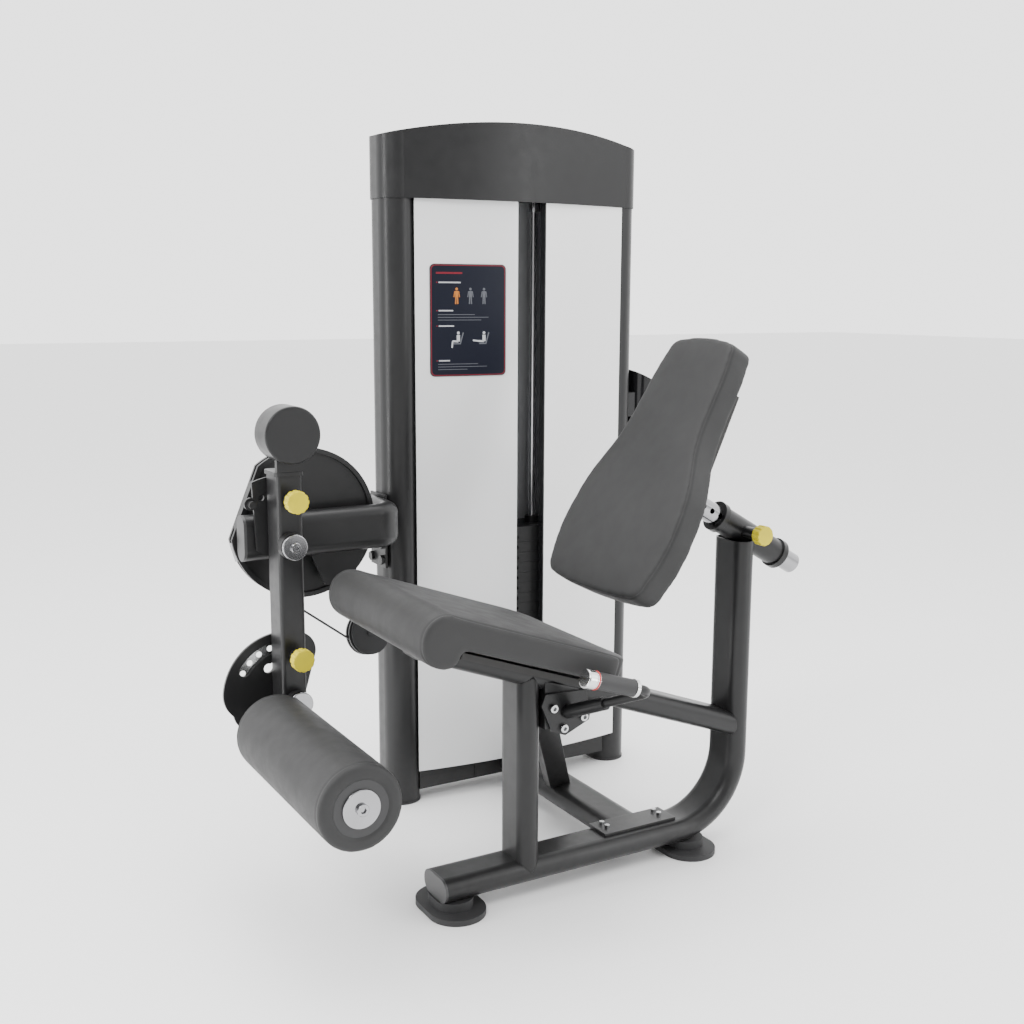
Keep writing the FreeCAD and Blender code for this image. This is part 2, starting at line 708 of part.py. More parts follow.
rod_x = [middle_x - dim("rod_spacing") / 2, middle_x + dim("rod_spacing") / 2]
rods = []
cushions = []
for i, x in enumerate(rod_x):
    rod = cylinder("rod%d" % i, "Dims.rod_radius", BEAM_LOW - STACK_BASE_Z, x, tower_y, STACK_BASE_Z)
    low_collar = cylinder("rod_foot%d" % i, 15, 24, x, tower_y, STACK_BASE_Z)
    top_collar = cylinder("rod_head%d" % i, 16, 20, x, tower_y, BEAM_LOW - 20)
    rods.append(fuse("guide_rod%d" % i, [rod, low_collar, top_collar]))
    cushions.append(cylinder_ring("cushion%d" % i, 24, "Dims.rod_radius", 24.5, x, tower_y, STACK_BASE_Z + 24))
keep("guide_rods", group("guide_rods", rods))

foot_pads = [racetrack("upright_pad%d" % i, 87, 113, "5", FOOT_PAD, x, tower_y, 0) for i, x in
             enumerate((left_x, right_x))]
keep("rubber_pads", group("rubber_pads", foot_pads + cushions))

# Panels: sheet bowed forward between the uprights.
BOW = [(left_x + 26, -14.0), (middle_x + 19.5, -38.0), (right_x - 10, -18.0)]


def bow_circle():
    points = [Vector(x, y, 0) for x, y in BOW]
    circle = Part.Arc(*points).toShape().Curve
    return circle.Center, circle.Radius


bow_centre, bow_radius = bow_circle()


def bow_point(x, inset, z):
    """A point of the bowed front face, inset by a distance towards the weights."""
    r = bow_radius - inset
    return Vector(x, bow_centre.y - math.sqrt(r * r - (x - bow_centre.x) ** 2), z)


def bowed_sheet(x0, x1, z0, z1, front, back):
    mid = (x0 + x1) / 2
    outer = Part.Arc(bow_point(x0, front, z0), bow_point(mid, front, z0), bow_point(x1, front, z0)).toShape()
    inner = Part.Arc(bow_point(x1, back, z0), bow_point(mid, back, z0), bow_point(x0, back, z0)).toShape()
    edges = [
        outer,
        line_edge(bow_point(x1, front, z0), bow_point(x1, back, z0)),
        inner,
        line_edge(bow_point(x0, back, z0), bow_point(x0, front, z0)),
    ]
    return Part.Face(Part.Wire(edges)).extrude(Vector(0, 0, z1 - z0))


SLIT = (-54.0, 18.0)
sheet_wall = dim("sheet_wall")
panel_low = dim("panel_low")
panel_high = dim("panel_high")
keep("panel_left", feature("panel_left", bowed_sheet(BOW[0][0], SLIT[0], panel_low, panel_high, 0, sheet_wall)))
lip_y = bow_point(SLIT[1], 0, 0).y
lip = Part.makeBox(sheet_wall, 20, panel_high - panel_low, Vector(SLIT[1], lip_y + 1, panel_low))
right_sheet = bowed_sheet(SLIT[1], BOW[2][0], panel_low, panel_high, 0, sheet_wall)
keep("panel_right", feature("panel_right", right_sheet.fuse(lip).removeSplitter()))
PLACARD_X = (-270.0, -86.0)
PLACARD_Z = (1001.0, 1250.0)
placard_block = Part.makeBox(184, 80, 249, Vector(PLACARD_X[0], -60, PLACARD_Z[0]))
placard_block = placard_block.makeFillet(11, [e for e in placard_block.Edges if abs(e.Length - 80) < 0.1])
placard = bowed_sheet(PLACARD_X[0] - 1, PLACARD_X[1] + 1, PLACARD_Z[0] - 1, PLACARD_Z[1] + 1, -1.6, 0)
keep("placard", feature("placard", placard.common(placard_block)))
rear_x = left_x + 21
keep("rear_panel", box("rear_panel", rear_x, 91, panel_low, right_x - 21 - rear_x, sheet_wall, panel_high - panel_low))


# Cap: a crowned cover over the top of both uprights.
def cap_solid(inset):
    r = dim("upright_narrow") / 2 + 3 - inset
    front = tower_y - dim("upright_wide") / 2 - 3 + inset
    back = tower_y + dim("upright_wide") / 2 + 3 - inset
    low = dim("cap_low")
    end = dim("cap_end_high") - inset
    crown = dim("cap_crown")
    left_end = left_x - r
    right_end = right_x + r
    z = Vector(0, 0, low)

    def corner(x, y, px, py, ex, ey):
        """A quarter round from (x, y) to (ex, ey) that passes near (px, py)."""
        return Part.Arc(Vector(x, y, low), Vector(px, py, low), Vector(ex, ey, low)).toShape()

    h = r * math.sqrt(0.5)
    bow = Part.Arc(Vector(left_x, front, low), Vector(middle_x, front - 32, low), Vector(right_x, front, low))
    edges = [
        bow.toShape(),
        corner(right_x, front, right_x + h, front + r - h, right_end, front + r),
        line_edge(Vector(right_end, front + r, low), Vector(right_end, back - r, low)),
        corner(right_end, back - r, right_x + h, back - r + h, right_x, back),
        line_edge(Vector(right_x, back, low), Vector(left_x, back, low)),
        corner(left_x, back, left_x - h, back - r + h, left_end, back - r),
        line_edge(Vector(left_end, back - r, low), Vector(left_end, front + r, low)),
        corner(left_end, front + r, left_x - h, front + r - h, left_x, front),
    ]
    block = Part.Face(Part.Wire(edges)).extrude(Vector(0, 0, 200))
    start = Vector(left_end - 2, -120, end)
    finish = Vector(right_end + 2, -120, end)
    crest = Vector(middle_x, -120, end + crown)
    profile = [
        Part.Arc(start, crest, finish).toShape(),
        line_edge(finish, Vector(right_end + 2, -120, low - 5)),
        line_edge(Vector(right_end + 2, -120, low - 5), Vector(left_end - 2, -120, low - 5)),
        line_edge(Vector(left_end - 2, -120, low - 5), start),
    ]
    return block.common(Part.Face(Part.Wire(profile)).extrude(Vector(0, 300, 0)))


cap_outer = cap_solid(0)
keep("cap_cover", feature("cap_cover", cap_outer.cut(cap_solid(sheet_wall))))

# Bottle holder on the right upright.
HOLDER = Vector(366, 56, 853)
holder_outer = cylinder("holder_outer", 50, 147, HOLDER.x, HOLDER.y, HOLDER.z)
holder_bore = cylinder("holder_bore", 46.5, 147, HOLDER.x, HOLDER.y, HOLDER.z + 4)
holder_arm = box("holder_arm", right_x + 30, tower_y - 15, HOLDER.z + 30, 40, 40, 60)
holder_shell = cut_all("holder_shell", fuse("holder_solid", [holder_outer, holder_arm]), [holder_bore] + upright_bars)
slant = box("holder_slant", HOLDER.x - 70, HOLDER.y - 80, HOLDER.z + 147, 160, 160, 80)
place(slant, HOLDER.x - 50, HOLDER.y - 80, HOLDER.z + 147, Rotation(Y_AXIS, 28))
keep("accessory_holder", cut("accessory_holder", holder_shell, slant))

# ---------------------------------------------------------------- weight stack

PIN_HOLE = 4.8
ROD_HOLE = 9.6
SPINE_RADIUS = 11.0
pitch = dim("plate_pitch")
plate_low = dim("plate_low")
lower_count = int(dim("lower_count"))
lifted_count = int(dim("lifted_count"))


def weight_plate(name, z, thick, pin_z):
    x = middle_x - dim("plate_width") / 2
    y = tower_y - dim("plate_depth") / 2
    plate = box(name + "_block", x, y, z, "Dims.plate_width", "Dims.plate_depth", thick)
    tools = [cylinder(name + "_rod%d" % i, ROD_HOLE, 60, rx, tower_y, z - 5) for i, rx in enumerate(rod_x)]
    tools.append(cylinder(name + "_spine", SPINE_RADIUS + 1, 60, middle_x, tower_y, z - 5))
    tools.append(cylinder(name + "_pin", PIN_HOLE, 60, middle_x, y - 5, pin_z, Y_AXIS))
    return cut(name, plate, group(name + "_holes", tools))


lower = []
for k in range(lower_count):
    z = plate_low + k * pitch
    lower.append(weight_plate("lower_plate%d" % k, z, "Dims.plate_thick", z + dim("plate_thick") / 2))
keep("lower_plates", group("lower_plates", lower))

lifted_low = plate_low + lower_count * pitch
lifted = []
for k in range(lifted_count):
    z = lifted_low + k * pitch
    lifted.append(weight_plate("lifted_plate%d" % k, z, "Dims.plate_thick", z + dim("plate_thick") / 2))
head_low = lifted_low + lifted_count * pitch
head_top = head_low + dim("head_thick")
head = weight_plate("head_block", head_low, "Dims.head_thick", head_low + 12.5)
guide_bore = "Dims.rod_radius + Dims.running_gap"
bushes = [cylinder_ring("head_bush%d" % i, 17, guide_bore, 16, x, tower_y, head_top) for i, x in enumerate(rod_x)]
keep("lifted_plates", group("lifted_plates", lifted + [fuse("head_plate", [head] + bushes)]))

spine = cylinder("spine", SPINE_RADIUS, head_top + 12 - plate_low - 6, middle_x, tower_y, plate_low + 6)
spine_collar = cylinder("spine_collar", 18, 12, middle_x, tower_y, head_top)
spine_holes = [cylinder("spine_hole%d" % k, 5.2, 40, middle_x, tower_y - 20, plate_low + k * pitch + 12.3, Y_AXIS)
               for k in range(lower_count + lifted_count + 1)]
spine_solid = fuse("spine_solid", [spine, spine_collar])
keep("selector_rod", cut("selector_rod", spine_solid, group("spine_holes", spine_holes)))

pin_z = lifted_low + dim("plate_thick") / 2
plate_face_y = tower_y - dim("plate_depth") / 2
pin_bar = cylinder("selector_bar", 4.75, 62, middle_x, plate_face_y - 6, pin_z, Y_AXIS)
pin_knob = cylinder("selector_knob", 13, 22, middle_x, plate_face_y - 24, pin_z, Y_AXIS)
keep("selector_pin", fuse("selector_pin", [pin_bar, pin_knob]))

# ---------------------------------------------------------------- cable route

cam_y = dim("cam_y")
r_cable = dim("cable_radius")
pivot = Vector(dim("pivot_x"), 0, dim("pivot_z"))
cam_centre = Vector(dim("cam_centre_x"), cam_y, dim("cam_centre_z"))
DEPART = math.radians(233.4)
CAM_ANCHOR = math.radians(196)
ANCHOR_LENGTH = 42.0


def on_cam(angle, radius):
    return cam_centre + Vector(radius * math.cos(angle), 0, radius * math.sin(angle))


side_r = dim("side_pulley_radius")
low_r = dim("pulley_radius")
top_r = dim("top_pulley_radius")
leave = on_cam(DEPART, dim("cam_cable_radius"))
lead = Vector(-math.sin(DEPART), 0, math.cos(DEPART))
LEAD_LENGTH = 270.7
arrive = leave + lead * LEAD_LENGTH


def side_pulley_route():
    """Side pulley centre and axis, the point where the cable leaves it, and the low pulley's centre and axis."""
    heading = Vector(0.826, 0.236, 0.512)
    for _ in range(60):
        heading.normalize()
        axis = lead.cross(heading)
        axis.normalize()
        centre = arrive + axis.cross(lead) * side_r
        start = centre - axis.cross(heading) * side_r
        low_axis = heading.cross(Z_AXIS)
        low_axis.normalize()
        low_centre = RISE + low_axis.cross(Z_AXIS) * low_r
        finish = low_centre - low_axis.cross(heading) * low_r
        heading = finish - start
    return centre, axis, start, low_centre, low_axis, finish


side_centre, side_axis, side_leave, low_centre, low_axis, low_arrive = side_pulley_route()
low_leave = RISE
over = Vector(middle_x - RISE.x, tower_y - RISE.y, 0)
over.normalize()
top_axis = over.cross(Z_AXIS)
top_z = dim("top_pulley_z")
top_a_centre = Vector(RISE.x, RISE.y, top_z) + over * top_r
top_b_centre = Vector(middle_x, tower_y, top_z) - over * top_r


def round_pulley(centre, radius, start, end):
    middle = start + end - centre * 2
    return arc_edge(centre, start, end, centre + middle)


top_start = Vector(RISE.x, RISE.y, top_z)
top_end = Vector(middle_x, tower_y, top_z)
crown_a = top_a_centre + Z_AXIS * top_r
crown_b = top_b_centre + Z_AXIS * top_r
route = [
    round_pulley(side_centre, side_r, arrive, side_leave),
    line_edge(side_leave, low_arrive),
    round_pulley(low_centre, low_r, low_arrive, low_leave),
    line_edge(low_leave, top_start),
    round_pulley(top_a_centre, top_r, top_start, crown_a),
    line_edge(crown_a, crown_b),
    round_pulley(top_b_centre, top_r, crown_b, top_end),
]
keep("cable_run", feature("cable_run", pipe(route, r_cable)))
rising = low_arrive - side_leave
cable_groove = feature("cable_groove", Part.makeCylinder(r_cable + 0.7, rising.Length, side_leave, rising))
for label in ("upright_left", "panel_left"):
    keep(label, cut(label + "_grooved", parts[label], cable_groove))
keep("cam_lead", feature("cam_lead", pipe([line_edge(leave, arrive)], r_cable)))
keep("stack_cable", cylinder("stack_cable", "Dims.cable_radius", top_z - head_top - 12, middle_x, tower_y, head_top + 12))


def grooved_pulley(centre, axis, radius, bore, width=14.0, rim=5.0):
    """A pulley whose groove floor touches the cable's inner side with a small gap."""
    outer = radius + rim
    floor_r = radius - r_cable - 0.4
    base = centre - axis * (width / 2)
    wheel = Part.makeCylinder(outer, width, base, axis)
    groove_w = 2 * r_cable + 2
    band = Part.makeCylinder(outer + 1, groove_w, centre - axis * (groove_w / 2), axis)
    band = band.cut(Part.makeCylinder(floor_r, groove_w, centre - axis * (groove_w / 2), axis))
    wheel = wheel.cut(band)
    return wheel.cut(Part.makeCylinder(bore, width + 2, centre - axis * (width / 2 + 1), axis))


AXLE = 6.0
bore = AXLE + dim("running_gap")
keep("side_pulley", feature("side_pulley", grooved_pulley(side_centre, side_axis, side_r, bore, 16.0, 16.0)))
keep("low_pulley", feature("low_pulley", grooved_pulley(low_centre, low_axis, low_r, bore)))
keep("top_pulley_a", feature("top_pulley_a", grooved_pulley(top_a_centre, top_axis, top_r, bore)))
keep("top_pulley_b", feature("top_pulley_b", grooved_pulley(top_b_centre, top_axis, top_r, bore)))


def slab(centre, axis, right, u0, u1, v0, v1, w0, w1):
    """A block in a pulley's own frame: u along right, v upwards, w along the axis."""
    up = axis.cross(right)
    if up.z < 0:
        up = up * -1
    corners = [centre + right * u + up * v + axis * w0 for u, v in ((u0, v0), (u1, v0), (u1, v1), (u0, v1))]
    return prism(corners, axis * (w1 - w0))


def rod(centre, axis, radius, w0, w1):
    return Part.makeCylinder(radius, w1 - w0, centre + axis * w0, axis)


def facing(axis):
    """The axis turned to point away from the tower, and the horizontal direction to its right."""
    near = axis if axis.y < 0 else axis * -1
    right = Z_AXIS.cross(near)
    right.normalize()
    return near, right


doc.recompute()
left_bar = upright_bars[0].Shape.copy()
left_bar.translate(here(0, 0, 0) * -1)

CHEEK_GAP = 8.9
cover_thick = dim("pulley_cover")
inner = CHEEK_GAP
outer = CHEEK_GAP + cover_thick
near, right = facing(side_axis)
up = near.cross(right) * -1 if near.cross(right).z < 0 else near.cross(right)
cover = rod(side_centre + right * 4, near, 49, inner, outer)
cover = cover.cut(slab(side_centre, near, right, 41, 90, -90, 90, 0, 40))
cover = cover.fuse(slab(side_centre, near, right, -6, 41, 0, 64, inner, outer))
cheek = rod(side_centre, near, 22, -outer, -inner)
cheek = cheek.fuse(slab(side_centre, near, right, -10, 104, -22, 64, -outer, -inner)).cut(left_bar)
flank = Part.makeBox(5, 82, 86, Vector(-376, -20, 417))
spacer = rod(side_centre + right * 28 + up * 57, near, 5, -outer, outer)
side_bracket = cover.fuse([cheek, flank, spacer, rod(side_centre, near, AXLE, -outer, outer + 4)])
near, right = facing(low_axis)
low_plate = slab(low_centre, near, right, -95, 14, -26, 26, -outer, -inner).cut(left_bar)
low_bracket = low_plate.fuse(rod(low_centre, near, AXLE, -outer, 9))
near, right = facing(top_axis)
top_bracket = slab(top_a_centre, near, right, -34, 78, -dim("top_pulley_z") + BEAM_LOW + 30, 16, inner, outer)
top_bracket = top_bracket.fuse(
    slab(top_a_centre, near, right, -34, 108, -dim("top_pulley_z") + BEAM_LOW + 30, 16, -outer, -inner)
)
for centre in (top_a_centre, top_b_centre):
    top_bracket = top_bracket.fuse(rod(centre, near, AXLE, -outer, outer))
keep("pulley_brackets", feature("pulley_brackets", Part.makeCompound([side_bracket, low_bracket, top_bracket])))

# ---------------------------------------------------------------- outrigger arm

arm_y = dim("arm_y")
arm_z = dim("pivot_z")
pivot_x = dim("pivot_x")
leg_x = dim("arm_leg_x")
ARM_START = -735.0
ARM_END = 60.0


def arm_solid(narrow, wide, start_x):
    bend = dim("arm_bend")
    a = Vector(start_x, arm_y, arm_z)
    b = Vector(leg_x - bend, arm_y, arm_z)
    c = Vector(leg_x, arm_y + bend, arm_z)
    centre = Vector(leg_x - bend, arm_y + bend, arm_z)
    edges = [line_edge(a, b), arc_edge(centre, b, c, centre + Vector(1, -1, 0))]
    edges.append(line_edge(c, Vector(leg_x, ARM_END, arm_z)))
    return swept_oval(narrow, wide, edges, Z_AXIS)


HOUSING_R = 38.0
BEARING_R = 30.0
housing_y = (-123.0, -67.0)
housing = Part.makeCylinder(HOUSING_R, housing_y[1] - housing_y[0], Vector(pivot_x, housing_y[0], arm_z), Y_AXIS)
housing_bore = Part.makeCylinder(BEARING_R, 90, Vector(pivot_x, -140, arm_z), Y_AXIS)
arm = arm_solid(narrow, wide, ARM_START).cut(arm_solid(narrow - 2 * wall, wide - 2 * wall, ARM_START))
keep("arm_tube", feature("arm_tube", arm.fuse(housing).cut(housing_bore)))

shaft_r = dim("shaft_radius")
BEARING_WIDTH = 16.0
bearing_bore = "Dims.shaft_radius + Dims.running_gap"
bearings = [cylinder_ring("bearing%d" % i, BEARING_R, bearing_bore, BEARING_WIDTH, pivot_x, y, arm_z, Y_AXIS)
            for i, y in enumerate((housing_y[0], housing_y[1] - BEARING_WIDTH))]
keep("pivot_bearings", group("pivot_bearings", bearings))

flange_plate = Part.makeBox(5, 80, 168, Vector(-376, 0, 570))
gusset = prism([Vector(-592, arm_y - 3, 643), Vector(-470, arm_y - 3, 643), Vector(-500, arm_y - 3, 572),
                Vector(-560, arm_y - 3, 572)], Vector(0, 6, 0))
flank_bolts = [hex_bolt(Vector(-376, y, z), Vector(-1, 0, 0), 19, 8, 5, 3) for y in (12, 68) for z in (588, 624)]
arm_pieces = [flange_plate, gusset.cut(arm_solid(narrow, wide, ARM_START))]
arm_pieces[0] = arm_pieces[0].fuse(flank_bolts)
keep("arm_brackets", feature("arm_brackets", Part.makeCompound(arm_pieces)))


def oval_cap(name, rotation, x, y, z, thick=5):
    """A moulded end plug: a flat cap that covers a frame tube's end."""
    cap = oval_tube(name, "tube_narrow", "tube_wide", None, "%g" % thick, thick)
    return place(cap, x, y, z, rotation)


rail_start = Vector(dim("rail_front_x"), seat_y, dim("rail_front_z"))
rail_back = tilt(dim("rail_angle")).multVec(Z_AXIS) * -5
plugs = [
    oval_cap("base_plug", Rotation(Y_AXIS, 90), dim("base_front_x"), seat_y, dim("base_z")),
    oval_cap("rail_plug", rail_turn, rail_start.x + rail_back.x, seat_y, rail_start.z + rail_back.z),
    oval_cap("arm_plug", Rotation(Z_AXIS, Vector(1, 0, 0)).multiply(Rotation(Z_AXIS, 90)), ARM_START - 6, arm_y,
             arm_z, 6),
    oval_cap("leg_plug", Rotation(Vector(1, 0, 0), -90), leg_x, ARM_END, arm_z),
]
keep("end_plugs", group("end_plugs", plugs))

# ---------------------------------------------------------------- cam and its shaft

CAM_FACES = (-62.0, -38.0)
CAM_SHAFT_Y = (-232.0, -36.0)
cam_r = dim("cam_radius")
CHORD_DISTANCE = 139.0
CHORD_ANGLE = math.radians(158)
OUTLINE_X = -590.0
OUTLINE_Z = 703.0


def cam_blank(radius, chord, y0, y1):
    """The cam's outline, a circle with a flat, between two planes."""
    centre = Vector(OUTLINE_X, y0, OUTLINE_Z)
    disc = Part.makeCylinder(radius, y1 - y0, centre, Y_AXIS)
    out = Vector(math.cos(CHORD_ANGLE), 0, math.sin(CHORD_ANGLE))
    side = Vector(-out.z, 0, out.x)
    start = centre + out * chord
    points = [start + side * 400, start + side * 400 + out * 400, start - side * 400 + out * 400, start - side * 400]
    return disc.cut(prism(points, Vector(0, y1 - y0, 0)))


RIM = 10.0
RECESS = 6.0
cam = cam_blank(cam_r, CHORD_DISTANCE, *CAM_FACES)
cam = cam.cut(cam_blank(cam_r - RIM, CHORD_DISTANCE - RIM, CAM_FACES[0] - 1, CAM_FACES[0] + RECESS))
cam = cam.cut(cam_blank(cam_r - RIM, CHORD_DISTANCE - RIM, CAM_FACES[1] - RECESS, CAM_FACES[1] + 1))
groove_floor = dim("cam_cable_radius") - r_cable - 0.3
groove = Part.makeCylinder(cam_r + 15, 8, Vector(cam_centre.x, cam_y - 4, cam_centre.z), Y_AXIS)
groove = groove.cut(Part.makeCylinder(groove_floor, 8, Vector(cam_centre.x, cam_y - 4, cam_centre.z), Y_AXIS))
cam_hub = Part.makeCylinder(32, 28, Vector(pivot_x, CAM_FACES[0] - 2, arm_z), Y_AXIS)
shaft_hole = Part.makeCylinder(shaft_r, 60, Vector(pivot_x, CAM_FACES[0] - 20, arm_z), Y_AXIS)
along_rim = Vector(-math.sin(CAM_ANCHOR), 0, math.cos(CAM_ANCHOR))
anchor_bar = Part.makeCylinder(6, ANCHOR_LENGTH, on_cam(CAM_ANCHOR, 158) - along_rim * (ANCHOR_LENGTH / 2), along_rim)
cam = cam.cut(groove).fuse(cam_hub).cut(shaft_hole).cut(anchor_bar)
keep("cam_disc", feature("cam_disc", cam))
shaft = Part.makeCylinder(shaft_r, CAM_SHAFT_Y[1] - CAM_SHAFT_Y[0], Vector(pivot_x, CAM_SHAFT_Y[0], arm_z), Y_AXIS)
keep("pivot_shaft", feature("pivot_shaft", Part.makeCompound([shaft, anchor_bar])))
cable_start_angle = CAM_ANCHOR + math.radians(8.2)
cable_start = on_cam(cable_start_angle, dim("cam_cable_radius"))
cam_arc = arc_edge(cam_centre, cable_start, leave, on_cam((cable_start_angle + DEPART) / 2, 100))
keep("cam_cable", feature("cam_cable", pipe([cam_arc], r_cable)))

# The start-angle plate: a sector on the shaft with a ring of pin holes and a stop peg.
PLATE_Y = (-134.0, -127.0)
PIN_CIRCLE = 93.0
SECTOR_R = 130.0


def polar(centre_x, centre_z, radius, degrees, y):
    a = math.radians(degrees)
    return Vector(centre_x + radius * math.cos(a), y, centre_z + radius * math.sin(a))


def at_pivot(radius, degrees):
    return polar(pivot_x, arm_z, radius, degrees, PLATE_Y[0])


sector = Part.Face(Part.Wire([
    Part.Arc(at_pivot(SECTOR_R, 66), at_pivot(SECTOR_R, 90), at_pivot(SECTOR_R, 113)).toShape(),
    line_edge(at_pivot(SECTOR_R, 113), at_pivot(48, 205)),
    Part.Arc(at_pivot(48, 205), at_pivot(36, 270), at_pivot(48, 335)).toShape(),
    line_edge(at_pivot(48, 335), at_pivot(SECTOR_R, 66)),
])).extrude(Vector(0, PLATE_Y[1] - PLATE_Y[0], 0))
for degrees in (70, 80, 90, 100, 110):
    sector = sector.cut(Part.makeCylinder(6.3, 20, at_pivot(PIN_CIRCLE, degrees) - Y_AXIS * 5, Y_AXIS))
stop_peg = Part.makeCylinder(8, 16, at_pivot(PIN_CIRCLE, 125.4) - Y_AXIS * 16, Y_AXIS)
stop_ear = Part.makeCylinder(13, PLATE_Y[1] - PLATE_Y[0], at_pivot(PIN_CIRCLE, 125.4), Y_AXIS)
sector = sector.fuse(stop_ear).cut(Part.makeCylinder(shaft_r, 20, at_pivot(0, 0) - Y_AXIS * 5, Y_AXIS))
keep("rom_plate", feature("rom_plate", Part.makeCompound([sector, stop_peg])))


def round_cap(name, radius, x, z, y0, y1):
    """A turned cap with a small rounded front edge."""
    body = Part.makeCylinder(radius, y1 - y0, Vector(x, y0, z), Y_AXIS)
    return body.makeFillet(2, [e for e in body.Edges if abs(e.BoundBox.YMin - y0) < 0.01 and e.BoundBox.YLength < 0.01])


CAP_FACES = (-239.0, -232.0)
cap_bolt = socket_bolt(Vector(pivot_x, CAP_FACES[0], arm_z), Y_AXIS * -1, 10, 6, 8, 3)
keep("pivot_cap", feature("pivot_cap", round_cap("pivot_cap", 26, pivot_x, arm_z, *CAP_FACES).fuse(cap_bolt)))

# ---------------------------------------------------------------- lever

lever_x = (pivot_x + dim("ankle_x")) / 2
lever_y = dim("lever_y")
lever_low = dim("lever_low")
lever_high = dim("lever_high")
lever_w = dim("lever_width")
lever_d = dim("lever_depth")
lever_near = lever_y - lever_d / 2
lever_far = lever_y + lever_d / 2
LEVER_WALL = 4.0
ankle_x = dim("ankle_x")
ankle_z = dim("ankle_z")
ankle_r = 12.0
HUB_NEAR = -231.0
SLEEVE_R = 19.0


def post_block(inset, z0, z1):
    width = lever_w - 2 * inset
    depth = lever_d - 2 * inset
    block = Part.makeBox(width, depth, z1 - z0, Vector(lever_x - width / 2, lever_y - depth / 2, z0))
    return block.makeFillet(8 - inset, [e for e in block.Edges if abs(e.Length - (z1 - z0)) < 0.1])


def along_y(radius, x, z, y0, y1):
    return Part.makeCylinder(radius, y1 - y0, Vector(x, y0, z), Y_AXIS)


ROM_PIN_Z = arm_z + PIN_CIRCLE
ANKLE_PIN_CIRCLE = 97.0
ANKLE_PIN_Z = ankle_z + ANKLE_PIN_CIRCLE
PIN_R = 6.0
counter_z = dim("counterweight_z")
counter_r = dim("counterweight_radius")
COUNTER_Y = (-238.0, -170.0)
post = post_block(0, lever_low, lever_high).cut(post_block(LEVER_WALL, lever_low - 1, lever_high + 1))
top_plate = post_block(-4, lever_high, lever_high + 8)
web = Part.makeBox(54, 12, 60, Vector(lever_x - 27, -214, lever_high + 8))
post = post.fuse([top_plate, web]).cut(along_y(counter_r, lever_x, counter_z, COUNTER_Y[0], COUNTER_Y[1]))
for radius, x, z in ((SLEEVE_R, pivot_x, arm_z), (SLEEVE_R, ankle_x, ankle_z), (PIN_R + 0.05, pivot_x, ROM_PIN_Z),
                     (PIN_R + 0.05, ankle_x, ANKLE_PIN_Z)):
    post = post.cut(along_y(radius, x, z, -260, -100))
keep("lever_post", feature("lever_post", post))
weight = along_y(counter_r, lever_x, counter_z, *COUNTER_Y)
keep("counterweight", feature("counterweight", weight.makeFillet(4, [e for e in weight.Edges if e.Length > 300])))

gap = dim("running_gap")


def hub(radius, bore_r, x, z):
    """A collar on the post's near face with a sleeve that runs through the post."""
    body = along_y(radius, x, z, HUB_NEAR, lever_near).fuse(along_y(SLEEVE_R, x, z, HUB_NEAR, lever_far))
    return body.cut(along_y(bore_r, x, z, -260, -100))


hubs = [hub(27, shaft_r + gap, pivot_x, arm_z), hub(24, ankle_r + gap, ankle_x, ankle_z)]
for x, z in ((pivot_x, ROM_PIN_Z), (ankle_x, ANKLE_PIN_Z)):
    hubs.append(along_y(13, x, z, -240, lever_near).cut(along_y(PIN_R + gap, x, z, -260, -200)))
keep("lever_hubs", feature("lever_hubs", Part.makeCompound(hubs)))


def lobed_knob(x, z, y0, y1, radius, lobes=12):
    """A twelve-lobed knob head with scalloped sides."""
    head = along_y(radius, x, z, y0, y1)
    head = head.makeFillet(3, [e for e in head.Edges if e.Length > 100])
    scallop = radius * 0.16
    for k in range(lobes):
        a = 2 * math.pi * (k + 0.5) / lobes
        reach = radius + scallop * 0.45
        head = head.cut(along_y(scallop, x + reach * math.cos(a), z + reach * math.sin(a), y0 - 1, y1 + 1))
    return head


def pull_pin(x, z, face, tip, knob_r, pin_r):
    """A pull knob whose back stands just clear of its housing's face, with its pin."""
    head = lobed_knob(x, z, face - 22, face - 0.3, knob_r)
    return head.fuse(along_y(pin_r, x, z, face - 10, tip))


PIN_TIP = PLATE_Y[0] - 0.4
keep("rom_pin", feature("rom_pin", pull_pin(pivot_x, ROM_PIN_Z, -240, PIN_TIP, 23, PIN_R)))
keep("ankle_pin", feature("ankle_pin", pull_pin(ankle_x, ANKLE_PIN_Z, -240, PIN_TIP, 23, PIN_R)))

# ---------------------------------------------------------------- ankle quadrant and roller

roller_x = dim("roller_x")
roller_z = dim("roller_z")
quad_r = dim("quadrant_radius")
roller_shaft_r = dim("roller_shaft_radius")


def at_ankle(radius, degrees, y=PLATE_Y[0]):
    return polar(ankle_x, ankle_z, radius, degrees, y)


def annular_slot(r0, r1, a0, a1, y0, y1):
    mid = (a0 + a1) / 2
    end_r = (r1 - r0) / 2
    mean = (r0 + r1) / 2
    step = math.degrees(end_r / mean)
    edges = [
        Part.Arc(at_ankle(r1, a0, y0), at_ankle(r1, mid, y0), at_ankle(r1, a1, y0)).toShape(),
        Part.Arc(at_ankle(r1, a1, y0), at_ankle(mean, a1 + step, y0), at_ankle(r0, a1, y0)).toShape(),
        Part.Arc(at_ankle(r0, a1, y0), at_ankle(r0, mid, y0), at_ankle(r0, a0, y0)).toShape(),
        Part.Arc(at_ankle(r0, a0, y0), at_ankle(mean, a0 - step, y0), at_ankle(r1, a0, y0)).toShape(),
    ]
    return Part.Face(Part.Wire(edges)).extrude(Vector(0, y1 - y0, 0))


def flat(x, z):
    return Vector(x, PLATE_Y[0], z)


